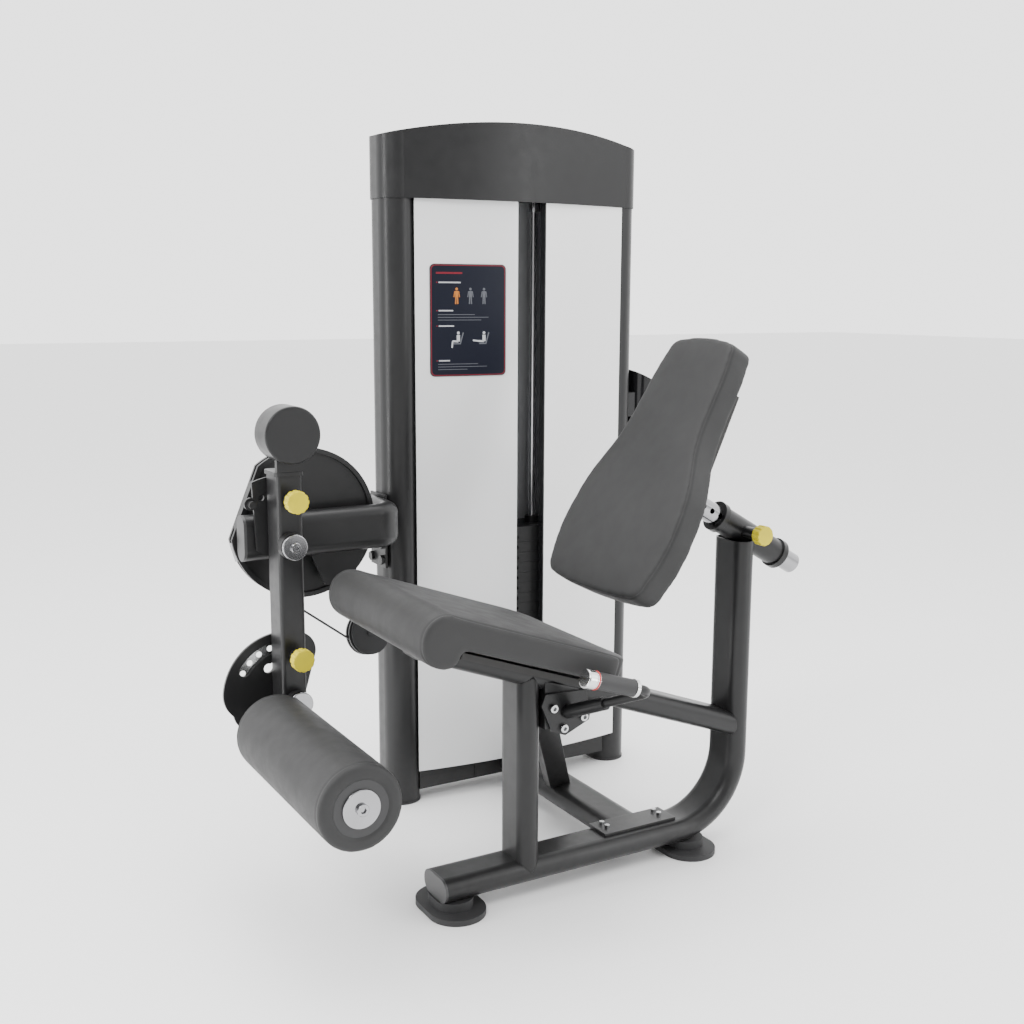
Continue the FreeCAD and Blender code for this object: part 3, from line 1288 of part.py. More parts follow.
quad_edges = [
    Part.Arc(at_ankle(quad_r, 174), at_ankle(quad_r, 120), at_ankle(quad_r, 66)).toShape(),
    Part.Arc(at_ankle(quad_r, 66), flat(-602, 461), flat(-599, 440)).toShape(),
    line_edge(flat(-599, 440), flat(-621, 363)),
    line_edge(flat(-621, 363), flat(-655, 333)),
    line_edge(flat(-655, 333), flat(-712, 293)),
    Part.Arc(flat(-712, 293), flat(-749, 290), at_ankle(quad_r - 14, 200)).toShape(),
    Part.Arc(at_ankle(quad_r - 14, 200), flat(-795, 348), at_ankle(quad_r, 174)).toShape(),
]
plate = Part.Face(Part.Wire(quad_edges)).extrude(Vector(0, PLATE_Y[1] - PLATE_Y[0], 0))
tear_centre = at_ankle(62, 120)
tear = along_y(10, tear_centre.x, tear_centre.z, -140, -120)
tear_side = Vector(math.cos(math.radians(150)), 0, math.sin(math.radians(150))) * 9
tear_tip = tear_centre + Vector(34, 0, 22)
tear = tear.fuse(prism([tear_centre + tear_side - Y_AXIS * 5, tear_tip - Y_AXIS * 5, tear_centre - tear_side - Y_AXIS * 5],
                       Vector(0, 20, 0)))
plate = plate.cut(annular_slot(86, 110, 74, 146, -140, -120)).cut(tear)
boss = along_y(20, roller_x, roller_z, -232, PLATE_Y[0])
quadrant = plate.fuse(boss).cut(along_y(roller_shaft_r, roller_x, roller_z, -260, -100))
quadrant = quadrant.cut(along_y(ankle_r, ankle_x, ankle_z, -160, -100))
keep("ankle_quadrant", feature("ankle_quadrant", quadrant))
index = annular_slot(82, 114, 76, 144, PLATE_Y[1], PLATE_Y[1] + 3)
for degrees in (75, 90, 105, 120, 135, 150):
    hole = at_ankle(ANKLE_PIN_CIRCLE, degrees, PLATE_Y[1] - 2)
    index = index.cut(Part.makeCylinder(6.3, 10, hole, Y_AXIS))
keep("index_plate", feature("index_plate", index))

near_end = dim("roller_near_y")
far_end = dim("roller_far_y")
END_RECESS = 6.0
core_near = near_end + END_RECESS
roller_shaft = along_y(roller_shaft_r, roller_x, roller_z, core_near - 3.4, PLATE_Y[1])
ankle_shaft = along_y(ankle_r, ankle_x, ankle_z, CAP_FACES[1], PLATE_Y[1])
keep("roller_shaft", feature("roller_shaft", Part.makeCompound([roller_shaft, ankle_shaft])))
washer = along_y(35, roller_x, roller_z, core_near - 6.4, core_near - 3.4)
washer = washer.makeFillet(1.5, [e for e in washer.Edges if e.BoundBox.YMax < core_near - 6.3])
washer = washer.fuse(socket_bolt(Vector(roller_x, core_near - 6.4, roller_z), Y_AXIS * -1, 11, 6, 8, 2))
ankle_cap = round_cap("ankle_cap", 26, ankle_x, ankle_z, *CAP_FACES)
keep("ankle_caps", feature("ankle_caps", Part.makeCompound([ankle_cap, washer])))
roller_r = dim("roller_radius")
roller = along_y(roller_r, roller_x, roller_z, near_end, far_end)
roller = roller.makeFillet(9, [e for e in roller.Edges if e.Length > 300])
roller = roller.cut(along_y(54, roller_x, roller_z, near_end - 1, core_near))
keep("roller_pad", feature("roller_pad", roller.cut(along_y(25, roller_x, roller_z, near_end - 1, far_end + 1))))
core = along_y(25, roller_x, roller_z, core_near - 3.0, far_end)
core = core.fuse(along_y(53.5, roller_x, roller_z, core_near - 3.0, core_near))
keep("roller_core", feature("roller_core", core.cut(along_y(roller_shaft_r + gap, roller_x, roller_z, -700, -200))))

# ---------------------------------------------------------------- back pad and its slider

back_up = Vector(-back_axis.z, 0, back_axis.x)
BACK_FOOT = Vector(-169.2, seat_y, 612)
BACK_HALF_WIDTHS = [(38, 170), (112, 186), (168, 184), (242, 170), (320, 137), (407, 121), (500, 111), (532, 103)]
TOP_HALF = 76.0
FOOT_HALF = 128.0


def on_back(side, s, depth=0.0):
    """A point of the back pad: sideways, up its front face and into its thickness."""
    return BACK_FOOT + Y_AXIS * side + back_up * s + back_axis * depth


def back_outline():
    def side_curve(sign):
        spline = Part.BSplineCurve()
        spline.interpolate([on_back(sign * half, s) for s, half in BACK_HALF_WIDTHS])
        return spline.toShape()

    length = dim("back_length")
    first = BACK_HALF_WIDTHS[0]
    last = BACK_HALF_WIDTHS[-1]
    edges = [
        Part.Arc(on_back(-FOOT_HALF, 0), on_back(0, -9), on_back(FOOT_HALF, 0)).toShape(),
        Part.Arc(on_back(-TOP_HALF, length), on_back(0, length + 7), on_back(TOP_HALF, length)).toShape(),
    ]
    for sign in (-1, 1):
        edges.append(side_curve(sign))
        low_mid = on_back(sign * (FOOT_HALF + 30), 11)
        edges.append(Part.Arc(on_back(sign * FOOT_HALF, 0), low_mid, on_back(sign * first[1], first[0])).toShape())
        top_mid = on_back(sign * (last[1] - 7), length - 8)
        edges.append(Part.Arc(on_back(sign * last[1], last[0]), top_mid, on_back(sign * TOP_HALF, length)).toShape())
    return Part.Face(Part.Wire(Part.__sortEdges__(edges)))


back_thick = dim("back_thick")
keep("back_pad", feature("back_pad", back_outline().extrude(back_axis * back_thick)))
BOARD_THICK = 15.0
board_corners = [on_back(side, s, back_thick) for side, s in ((-140, 60), (140, 60), (92, 470), (-92, 470))]
keep("back_board", feature("back_board", prism(board_corners, back_axis * BOARD_THICK)))
SLIDER_FRONT = -130.6
SLIDER_LENGTH = 399.0
slider = along_back("slider_outer", "Dims.slider_radius", SLIDER_LENGTH, SLIDER_FRONT)
slider_bore = along_back("slider_bore", "Dims.slider_radius - 3", SLIDER_LENGTH, SLIDER_FRONT)
slider_holes = []
for k in range(-5, 3):
    p = on_back_axis(PIN_DISTANCE + 25 * k)
    slider_holes.append(cylinder("slider_hole%d" % (k + 5), 6, 30, p.x, seat_y - 40, p.z, Y_AXIS))
keep("slider_tube", cut_all("slider_drilled", slider, [slider_bore, group("slider_holes", slider_holes)]))
slider_r = dim("slider_radius")
back_pin = pull_pin(pin_point.x, pin_point.z, seat_y - 70, seat_y - slider_r - 0.4, 21, 5)
keep("back_pin", feature("back_pin", back_pin))

# ---------------------------------------------------------------- checks and export

doc.recompute()
for obj in doc.Objects:
    if "Invalid" in obj.State or "Error" in obj.State:
        raise RuntimeError("%s is %s" % (obj.Label, obj.State))
os.makedirs("parts", exist_ok=True)
for label, obj in parts.items():
    shape = obj.Shape
    if shape.isNull() or not shape.isValid() or not shape.Solids:
        raise RuntimeError(label + " is not a valid solid")
    shape.exportStep("parts/%s.step" % label)
print(len(parts), "parts written")
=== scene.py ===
"""Leg extension machine: materials, upholstery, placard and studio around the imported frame. Metres."""
import math

import bmesh
import bpy
import numpy as np
from mathutils import Matrix, Vector


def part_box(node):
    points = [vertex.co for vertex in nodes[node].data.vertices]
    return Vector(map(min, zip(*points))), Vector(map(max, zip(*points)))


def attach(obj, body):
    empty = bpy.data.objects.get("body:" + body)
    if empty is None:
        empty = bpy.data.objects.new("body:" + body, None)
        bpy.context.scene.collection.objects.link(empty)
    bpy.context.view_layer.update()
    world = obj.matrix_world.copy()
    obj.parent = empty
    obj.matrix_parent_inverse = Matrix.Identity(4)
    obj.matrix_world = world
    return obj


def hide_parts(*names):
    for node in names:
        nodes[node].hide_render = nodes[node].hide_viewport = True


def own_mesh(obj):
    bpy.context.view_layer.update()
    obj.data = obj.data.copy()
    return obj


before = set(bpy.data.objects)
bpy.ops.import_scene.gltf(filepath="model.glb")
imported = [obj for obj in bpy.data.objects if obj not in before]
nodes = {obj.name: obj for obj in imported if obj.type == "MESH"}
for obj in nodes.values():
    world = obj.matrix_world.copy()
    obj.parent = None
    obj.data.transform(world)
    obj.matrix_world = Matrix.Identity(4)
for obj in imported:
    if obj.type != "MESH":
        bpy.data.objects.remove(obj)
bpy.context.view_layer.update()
MM = 0.001

# ------------------------------------------------------------------ node helpers


class Graph:
    """A material's node tree with short calls for what this scene uses."""

    def __init__(self, name):
        self.material = bpy.data.materials.new(name)
        self.material.use_nodes = True
        self.tree = self.material.node_tree
        self.tree.nodes.clear()
        out = self.new("ShaderNodeOutputMaterial")
        self.bsdf = self.new("ShaderNodeBsdfPrincipled")
        self.link(self.bsdf.outputs[0], out.inputs[0])
        coordinates = self.new("ShaderNodeTexCoord")
        self.place = coordinates.outputs["Object"]

    def new(self, kind):
        return self.tree.nodes.new(kind)

    def link(self, a, b):
        self.tree.links.new(a, b)

    def feed(self, socket, value):
        if hasattr(value, "is_output"):
            self.link(value, socket)
        else:
            socket.default_value = value

    def stretched(self, x, y, z):
        """The place in the object, scaled by axis."""
        mapping = self.new("ShaderNodeMapping")
        self.link(self.place, mapping.inputs["Vector"])
        mapping.inputs["Scale"].default_value = (x, y, z)
        return mapping.outputs["Vector"]

    def noise(self, scale, detail=3.0, rough=0.5, vector=None):
        n = self.new("ShaderNodeTexNoise")
        self.link(vector or self.place, n.inputs["Vector"])
        n.inputs["Scale"].default_value = scale
        n.inputs["Detail"].default_value = detail
        n.inputs["Roughness"].default_value = rough
        return n.outputs["Fac"]

    def cells(self, scale, feature="F1", vector=None):
        v = self.new("ShaderNodeTexVoronoi")
        v.feature = feature
        self.link(vector or self.place, v.inputs["Vector"])
        v.inputs["Scale"].default_value = scale
        return v.outputs["Distance"]

    def wave(self, scale, vector, distortion=0.0):
        w = self.new("ShaderNodeTexWave")
        self.link(vector, w.inputs["Vector"])
        w.inputs["Scale"].default_value = scale
        w.inputs["Distortion"].default_value = distortion
        return w.outputs["Fac"]

    def span(self, value, low, high, to_low, to_high):
        m = self.new("ShaderNodeMapRange")
        self.link(value, m.inputs["Value"])
        for name, number in (("From Min", low), ("From Max", high), ("To Min", to_low), ("To Max", to_high)):
            m.inputs[name].default_value = number
        return m.outputs["Result"]

    def math(self, kind, a, b=0.0):
        m = self.new("ShaderNodeMath")
        m.operation = kind
        self.feed(m.inputs[0], a)
        self.feed(m.inputs[1], b)
        return m.outputs[0]

    def mix(self, fac, a, b):
        m = self.new("ShaderNodeMix")
        m.data_type = "RGBA"
        self.feed(m.inputs["Factor"], fac)
        self.feed(m.inputs["A"], a)
        self.feed(m.inputs["B"], b)
        return m.outputs["Result"]

    def axis(self, name):
        s = self.new("ShaderNodeSeparateXYZ")
        self.link(self.place, s.inputs[0])
        return s.outputs[name]

    def bump(self, height, strength, distance, normal=None):
        b = self.new("ShaderNodeBump")
        b.inputs["Strength"].default_value = strength
        b.inputs["Distance"].default_value = distance
        self.link(height, b.inputs["Height"])
        if normal:
            self.link(normal, b.inputs["Normal"])
        return b.outputs["Normal"]

    def soft_edges(self, radius):
        b = self.new("ShaderNodeBevel")
        b.samples = 4
        b.inputs["Radius"].default_value = radius
        return b.outputs["Normal"]

    def set(self, **values):
        for name, value in values.items():
            self.feed(self.bsdf.inputs[name.replace("_", " ")], value)
        return self


def shade(color, factor):
    return (color[0] * factor, color[1] * factor, color[2] * factor, 1.0)


# ------------------------------------------------------------------ materials


def powder_coat(name, color, rough=0.34, edge=1.2 * MM):
    """Satin powder coat: fine orange peel, faint cloudiness, dust low down and rounded edges."""
    g = Graph(name)
    cloud = g.noise(9.0, 4.0)
    tone = g.mix(g.span(cloud, 0.3, 0.7, 0.0, 1.0), shade(color, 0.93), shade(color, 1.07))
    dust = g.math("MULTIPLY", g.span(g.axis("Z"), 0.0, 0.25, 0.10, 0.0), g.noise(60.0, 5.0))
    tone = g.mix(dust, tone, (0.14, 0.138, 0.135, 1.0))
    peel = g.noise(1400.0, 2.0)
    fine = g.noise(4200.0, 1.0)
    normal = g.bump(peel, 0.16, 0.12 * MM, g.soft_edges(edge))
    normal = g.bump(fine, 0.10, 0.05 * MM, normal)
    gloss = g.span(g.noise(40.0), 0.3, 0.7, rough - 0.04, rough + 0.05)
    g.set(Base_Color=tone, Normal=normal, Roughness=gloss)
    g.bsdf.inputs["Specular IOR Level"].default_value = 0.32
    return g.material


def sheet_paint(name, color, rough):
    """Smooth panel coat with the slight waviness of pressed sheet."""
    g = Graph(name)
    drift = g.noise(2.5, 2.0, vector=g.stretched(1.0, 1.0, 0.25))
    tone = g.mix(g.span(drift, 0.3, 0.7, 0.0, 1.0), shade(color, 0.965), shade(color, 1.02))
    flake = g.noise(2600.0, 1.0)
    normal = g.bump(g.noise(3.0, 1.0), 0.25, 1.2 * MM, g.soft_edges(0.8 * MM))
    normal = g.bump(flake, 0.05, 0.04 * MM, normal)
    g.set(Base_Color=tone, Roughness=g.span(flake, 0.2, 0.8, rough - 0.03, rough + 0.04), Normal=normal)
    g.bsdf.inputs["Coat Weight"].default_value = 0.25
    g.bsdf.inputs["Coat Roughness"].default_value = 0.12
    return g


def vinyl(name, color):
    """Fine-grain upholstery vinyl: pebbled cells, creases between them painted darker as painted shade, and a
    worn sheen.
    """
    g = Graph(name)
    grain = g.cells(850.0, "DISTANCE_TO_EDGE", g.place)
    pebble = g.span(grain, 0.0, 0.35, 0.0, 1.0)
    wander = g.noise(260.0, 3.0)
    cloud = g.noise(7.0, 4.0)
    tone = g.mix(g.span(cloud, 0.3, 0.7, 0.0, 1.0), shade(color, 0.92), shade(color, 1.08))
    # Painted shade: the grain's creases are coloured darker, towards 0.62 of the vinyl's colour.
    tone = g.mix(g.span(pebble, 0.0, 1.0, 0.25, 0.0), tone, shade(color, 0.62))
    normal = g.bump(pebble, 0.22, 0.22 * MM)
    normal = g.bump(wander, 0.15, 0.35 * MM, normal)
    g.set(Base_Color=tone, Normal=normal, Roughness=g.span(g.noise(30.0), 0.3, 0.7, 0.50, 0.60))
    g.bsdf.inputs["Specular IOR Level"].default_value = 0.24
    return g.material


def metal(name, color, rough, brushed=None):
    """Bare or plated metal; brushed gives the stretch of its scratches by axis."""
    g = Graph(name)
    scratches = g.noise(420.0, 3.0, vector=g.stretched(*(brushed or (1.0, 1.0, 1.0))))
    smudge = g.noise(14.0, 4.0)
    tone = g.mix(g.span(smudge, 0.3, 0.7, 0.0, 1.0), shade(color, 0.86), shade(color, 1.0))
    scored = g.span(scratches, 0.3, 0.7, rough * 0.8, rough * 1.2)
    roughness = g.math("ADD", scored, g.span(smudge, 0.4, 0.8, 0.0, 0.05))
    normal = g.bump(scratches, 0.10, 0.03 * MM, g.soft_edges(0.5 * MM))
    g.set(Base_Color=tone, Metallic=1.0, Roughness=roughness, Normal=normal)
    return g.material


def moulded(name, color, rough, grain=0.12, scale=1500.0, edge=0.8 * MM):
    """Moulded rubber or plastic with a fine spark-eroded texture."""
    g = Graph(name)
    fine = g.noise(scale, 2.0)
    broad = g.noise(22.0, 3.0)
    tone = g.mix(g.span(broad, 0.3, 0.7, 0.0, 1.0), shade(color, 0.88), shade(color, 1.12))
    normal = g.bump(fine, grain, 0.10 * MM, g.soft_edges(edge))
    g.set(Base_Color=tone, Normal=normal, Roughness=g.span(broad, 0.3, 0.7, rough - 0.04, rough + 0.04))
    return g.material


def braided_cable(name):
    """Nylon-sheathed wire rope with its lay just showing, its grooves coloured darker and its crests lighter
    as painted shade.
    """
    g = Graph(name)
    lay = g.wave(330.0, g.stretched(1.0, 1.0, 1.4), 0.6)
    normal = g.bump(lay, 0.35, 0.25 * MM)
    # Painted shade: the colour follows the lay's bump, darker in the grooves and lighter on the crests.
    tone = g.mix(lay, (0.010, 0.010, 0.011, 1.0), (0.028, 0.028, 0.030, 1.0))
    g.set(Base_Color=tone, Normal=normal, Roughness=g.span(g.noise(80.0), 0.3, 0.7, 0.32, 0.42))
    return g.material


def stained_ply(name):
    """Black-stained plywood: stretched grain and veneer lines at the edges."""
    g = Graph(name)
    grain = g.noise(90.0, 5.0, vector=g.stretched(1.0, 0.12, 1.0))
    veneer = g.wave(260.0, g.stretched(0.3, 0.0, 1.0), 0.4)
    tone = g.mix(grain, (0.007, 0.007, 0.0068, 1.0), (0.020, 0.019, 0.018, 1.0))
    tone = g.mix(g.math("MULTIPLY", veneer, 0.25), tone, (0.030, 0.028, 0.026, 1.0))
    g.set(Base_Color=tone, Normal=g.bump(grain, 0.3, 0.3 * MM), Roughness=g.span(grain, 0.2, 0.8, 0.55, 0.72))
    return g.material


CHARCOAL = (0.0125, 0.0125, 0.013)
GREY_VINYL = (0.029, 0.029, 0.0293)
M = {
    "frame_paint": powder_coat("frame_paint", CHARCOAL),
    "dark_paint": powder_coat("dark_paint", (0.010, 0.010, 0.0105), 0.32),
    "cover_grey": powder_coat("cover_grey", (0.022, 0.022, 0.023), 0.40),
    "rear_paint": powder_coat("rear_paint", (0.40, 0.41, 0.42), 0.38),
    "silver_paint": sheet_paint("silver_paint", (0.74, 0.745, 0.75), 0.26).material,
    "upholstery": vinyl("upholstery", GREY_VINYL),
    "board": stained_ply("board"),
    "chrome": metal("chrome", (0.34, 0.34, 0.35), 0.16),
    "steel": metal("steel", (0.36, 0.36, 0.37), 0.26, (1.0, 0.15, 1.0)),
    "zinc": metal("zinc", (0.50, 0.505, 0.51), 0.22),
    "bright_rod": metal("bright_rod", (0.60, 0.60, 0.61), 0.14, (1.0, 1.0, 0.05)),
    "plate_iron": powder_coat("plate_iron", (0.008, 0.008, 0.0085), 0.46),
    "rubber": moulded("rubber", (0.022, 0.022, 0.023), 0.62, 0.3, 900.0),
    "grip_rubber": moulded("grip_rubber", (0.014, 0.014, 0.015), 0.50, 0.35, 700.0),
    "cable": braided_cable("cable"),
    "black_plastic": moulded("black_plastic", (0.016, 0.016, 0.017), 0.42),
    "gloss_black": moulded("gloss_black", (0.008, 0.008, 0.009), 0.14, 0.03, 400.0),
    "plug_grey": moulded("plug_grey", (0.045, 0.0452, 0.046), 0.40),
    "knob_yellow": moulded("knob_yellow", (0.55, 0.46, 0.0), 0.6, 0.08, 1100.0),
    "knob_white": metal("knob_white", (0.72, 0.72, 0.72), 0.16),
}


def white_panel():
    """Near-white panel coat with the black return lip of the stack's slot."""
    g = sheet_paint("white_paint", (0.93, 0.93, 0.93), 0.24)
    lip_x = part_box("panel_right")[0].x + 2.6 * MM
    coat = g.bsdf.inputs["Base Color"].links[0].from_socket
    lip = g.math("LESS_THAN", g.axis("X"), lip_x)
    g.set(Base_Color=g.mix(lip, coat, (0.010, 0.010, 0.011, 1.0)))
    return g.material


M["white_paint"] = white_panel()

FINISH = {
    "frame_paint": "base_tube front_post seat_rail cross_tube seat_brace upright_left upright_right "
                   "tower_rails cap_cover arm_tube arm_brackets cam_disc rom_plate lever_post "
                   "counterweight lever_hubs ankle_quadrant",
    "dark_paint": "handles back_sleeve",
    "cover_grey": "pulley_brackets",
    "rear_paint": "rear_panel",
    "silver_paint": "panel_left",
    "white_paint": "panel_right",
    "plug_grey": "end_plugs",
    "board": "seat_board back_board",
    "zinc": "frame_bolts index_plate",
    "rubber": "seat_feet rubber_pads",
    "grip_rubber": "grips",
    "bright_rod": "guide_rods",
    "steel": "pivot_bearings roller_shaft selector_rod",
    "chrome": "pivot_shaft pivot_cap ankle_caps slider_tube",
    "plate_iron": "lower_plates lifted_plates",
    "cable": "cable_run cam_lead stack_cable cam_cable",
    "black_plastic": "side_pulley low_pulley top_pulley_a top_pulley_b roller_core placard",
    "gloss_black": "accessory_holder",
    "knob_yellow": "rom_pin ankle_pin back_pin selector_pin",
    "knob_white": "grip_knobs",
}
for finish, names in FINISH.items():
    for node in names.split():
        data = nodes[node].data
        data.materials.clear()
        data.materials.append(M[finish])

# ------------------------------------------------------------------ mesh helpers


def add_object(name, mesh, material, smooth=True):
    obj = bpy.data.objects.new(name, mesh)
    bpy.context.scene.collection.objects.link(obj)
    mesh.materials.clear()
    mesh.materials.append(material)
    if smooth:
        mesh.polygons.foreach_set("use_smooth", [True] * len(mesh.polygons))
    return obj


def applied(obj):
    """obj's mesh with its modifiers applied."""
    bpy.context.view_layer.update()
    evaluated = obj.evaluated_get(bpy.context.evaluated_depsgraph_get())
    mesh = bpy.data.meshes.new_from_object(evaluated)
    obj.modifiers.clear()
    old = obj.data
    obj.data = mesh
    bpy.data.meshes.remove(old)
    return obj


# ------------------------------------------------------------------ upholstery

SIM_FRAMES = 16
EVEN_ROUNDS = 40


def positions(mesh):
    flat = np.empty(len(mesh.vertices) * 3)
    mesh.vertices.foreach_get("co", flat)
    return flat.reshape(-1, 3)


def normals(mesh):
    flat = np.empty(len(mesh.vertices) * 3)
    mesh.vertex_normals.foreach_get("vector", flat)
    return flat.reshape(-1, 3)


def move_to(mesh, places):
    mesh.vertices.foreach_set("co", places.ravel())
    mesh.update()


def evened(mesh, field, rounds):
    """field averaged over neighbouring vertices, rounds times over."""
    ends = np.empty(len(mesh.edges) * 2, dtype=np.int64)
    mesh.edges.foreach_get("vertices", ends)
    first, second = ends.reshape(-1, 2).T
    count = np.bincount(ends, minlength=len(field))[:, None] + 1.0
    for _ in range(rounds):
        total = field.copy()
        for k in range(3):
            total[:, k] += np.bincount(first, field[second, k], len(field))
            total[:, k] += np.bincount(second, field[first, k], len(field))
        field = total / count
    return field


def inflate(obj, most, hold):
    """Fills the cover as cloth under pressure, then evens out its creases.

    No point moves more than most, or at all along hold.
    """
    start = positions(obj.data)
    cloth = obj.modifiers.new("cover", "CLOTH")
    settings = cloth.settings
    settings.quality = 4
    settings.mass = 0.35
    settings.tension_stiffness = 22
    settings.compression_stiffness = 22
    settings.shear_stiffness = 10
    settings.bending_stiffness = 1.2
    settings.use_pressure = True
    settings.uniform_pressure_force = 4.0
    settings.effector_weights.gravity = 0.0
    cloth.collision_settings.use_collision = False
    cloth.point_cache.frame_start = 1
    cloth.point_cache.frame_end = SIM_FRAMES
    scene = bpy.context.scene
    for step in range(1, SIM_FRAMES + 1):
        scene.frame_set(step)
    obj = applied(obj)
    scene.frame_set(1)
    move = positions(obj.data) - start
    if hold is not None:
        along = np.clip(move @ np.array(hold), 0, None)
        move -= along[:, None] * np.array(hold)
    length = np.linalg.norm(move, axis=1)
    move *= np.minimum(1.0, most / np.maximum(length, 1e-9))[:, None]
    move_to(obj.data, start + evened(obj.data, move, EVEN_ROUNDS))
    return obj


def cushion(name, node, body, voxel, soften, most, grooves, hold=None, slim=0.0, lean=0.0):
    """A stuffed cover over a CAD pad: softened corners, crowned faces and sewn grooves.

    The skin is made with the pad turned level by lean. Each groove is (direction, distance, depth, width).
    """
    obj = add_object(name, nodes[node].data.copy(), M["upholstery"])
    obj.data.transform(Matrix.Rotation(-lean, 4, "Y"))
    remesh = obj.modifiers.new("skin", "REMESH")
    remesh.mode = "VOXEL"
    remesh.voxel_size = voxel
    obj = applied(obj)
    obj.data.transform(Matrix.Rotation(lean, 4, "Y"))
    smooth = obj.modifiers.new("soften", "SMOOTH")
    smooth.factor = 0.5
    smooth.iterations = soften
    obj = applied(obj)
    move_to(obj.data, positions(obj.data) - normals(obj.data) * slim)
    obj = inflate(obj, most, hold)
    finer = obj.modifiers.new("finer", "SUBSURF")
    finer.levels = 1
    finer.render_levels = 1
    obj = applied(obj)
    mesh = obj.data
    places = positions(mesh)
    sink = np.zeros(len(places))
    for direction, distance, depth, width in grooves:
        gap = (places @ np.array(direction) - distance) / width
        sink += depth * np.exp(-gap * gap)
    move_to(mesh, places - normals(mesh) * sink[:, None])
    mesh.materials.clear()
    mesh.materials.append(M["upholstery"])
    mesh.polygons.foreach_set("use_smooth", [True] * len(mesh.polygons))
    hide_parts(node)
    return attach(obj, body)


AXIS_Y = Vector((0, 1, 0))
SEAM = 1.8 * MM
SEAM_WIDTH = 2.2 * MM
ROLLER_SEAM = 1.0 * MM
seat_low, seat_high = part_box("seat_pad")
SEAT_SLOPE = math.radians(19.5)
seat_up = Vector((math.sin(SEAT_SLOPE), 0, math.cos(SEAT_SLOPE)))
cushion(
    "seat_cushion", "seat_pad", "frame", 5.0 * MM, 9, 5 * MM,
    [(AXIS_Y, seat_low.y + 11 * MM, SEAM, SEAM_WIDTH), (AXIS_Y, seat_high.y - 11 * MM, SEAM, SEAM_WIDTH)],
    hold=-seat_up, slim=1.5 * MM, lean=SEAT_SLOPE,
)
RECLINE = math.radians(29.8)
back_out = Vector((math.cos(RECLINE), 0, -math.sin(RECLINE)))
back_points = [v.co.dot(back_out) for v in nodes["back_pad"].data.vertices]
cushion(
    "back_cushion", "back_pad", "back", 5.0 * MM, 9, 5 * MM,
    [(back_out, min(back_points) + 9 * MM, SEAM, SEAM_WIDTH)], hold=back_out, slim=1.5 * MM, lean=RECLINE,
)
roller_low, roller_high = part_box("roller_pad")
cushion(
    "roller_cushion", "roller_pad", "roller", 4.5 * MM, 3, 2 * MM,
    [
        (AXIS_Y, roller_low.y + 14 * MM, ROLLER_SEAM, SEAM_WIDTH),
        (AXIS_Y, roller_high.y - 14 * MM, ROLLER_SEAM, SEAM_WIDTH),
    ],
    slim=0.5 * MM,
)

# ------------------------------------------------------------------ ropes and grip rings


def rope(node):
    """A cable run's mesh copied into its own object on the frame, with the CAD part hidden."""
    obj = add_object(node + "_rope", nodes[node].data.copy(), M["cable"])
    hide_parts(node)
    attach(obj, "frame")
    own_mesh(obj)


rope("cam_lead")
rope("stack_cable")


def ring(name, centre, axis, inner, outer, width, material):
    """A turned ring with rounded edges about axis."""
    mesh = bpy.data.meshes.new(name)
    bm = bmesh.new()
    turn = axis.to_track_quat("Z", "Y")
    steps, soft = 48, 0.3 * (outer - inner)
    half = width / 2
    profile = [(inner, -half), (outer - soft, -half), (outer, -half + soft), (outer, half - soft),
               (outer - soft, half), (inner, half)]
    loops = []
    for k in range(steps):
        a = 2 * math.pi * k / steps
        points = [Vector((r * math.cos(a), r * math.sin(a), z)) for r, z in profile]
        loops.append([bm.verts.new(centre + turn @ point) for point in points])
    for k in range(steps):
        for i in range(len(profile)):
            j = (i + 1) % len(profile)
            after = (k + 1) % steps
            bm.faces.new([loops[k][i], loops[k][j], loops[after][j], loops[after][i]])
    bmesh.ops.recalc_face_normals(bm, faces=bm.faces)
    bm.to_mesh(mesh)
    bm.free()
    obj = add_object(name, mesh, material)
    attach(obj, "frame")


GRIP_TILT = math.radians(18)
grip_dir = Vector((-math.cos(GRIP_TILT), 0, math.sin(GRIP_TILT)))
grip_places = positions(nodes["grips"].data)
grip_middle_y = grip_places[:, 1].mean()
M["red_ring"] = moulded("red_ring", (0.55, 0.012, 0.012), 0.35)
for side, chosen in (("near", grip_places[:, 1] < grip_middle_y), ("far", grip_places[:, 1] > grip_middle_y)):
    group = grip_places[chosen]
    along = group @ np.array(grip_dir)
    middle = Vector((group.min(0) + group.max(0)) / 2)
    middle += grip_dir * ((along.min() + along.max()) / 2 - middle.dot(grip_dir))
    tip = middle + grip_dir * ((along.max() - along.min()) / 2)
    middle = tip + grip_dir * 2.4 * MM
    ring("grip_red_" + side, middle, grip_dir, 16.4 * MM, 17.6 * MM, 2.6 * MM, M["red_ring"])

# ------------------------------------------------------------------ placard

placard_low, placard_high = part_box("placard")
placard_mid_z = (placard_low.z + placard_high.z) / 2


def placard_y(x, z):
    """How far forward the placard's bowed face is at x, z."""
    hit, place, _, _ = nodes["placard"].ray_cast(Vector((x, placard_low.y - 0.1, z)), AXIS_Y)
    return place.y if hit else placard_low.y


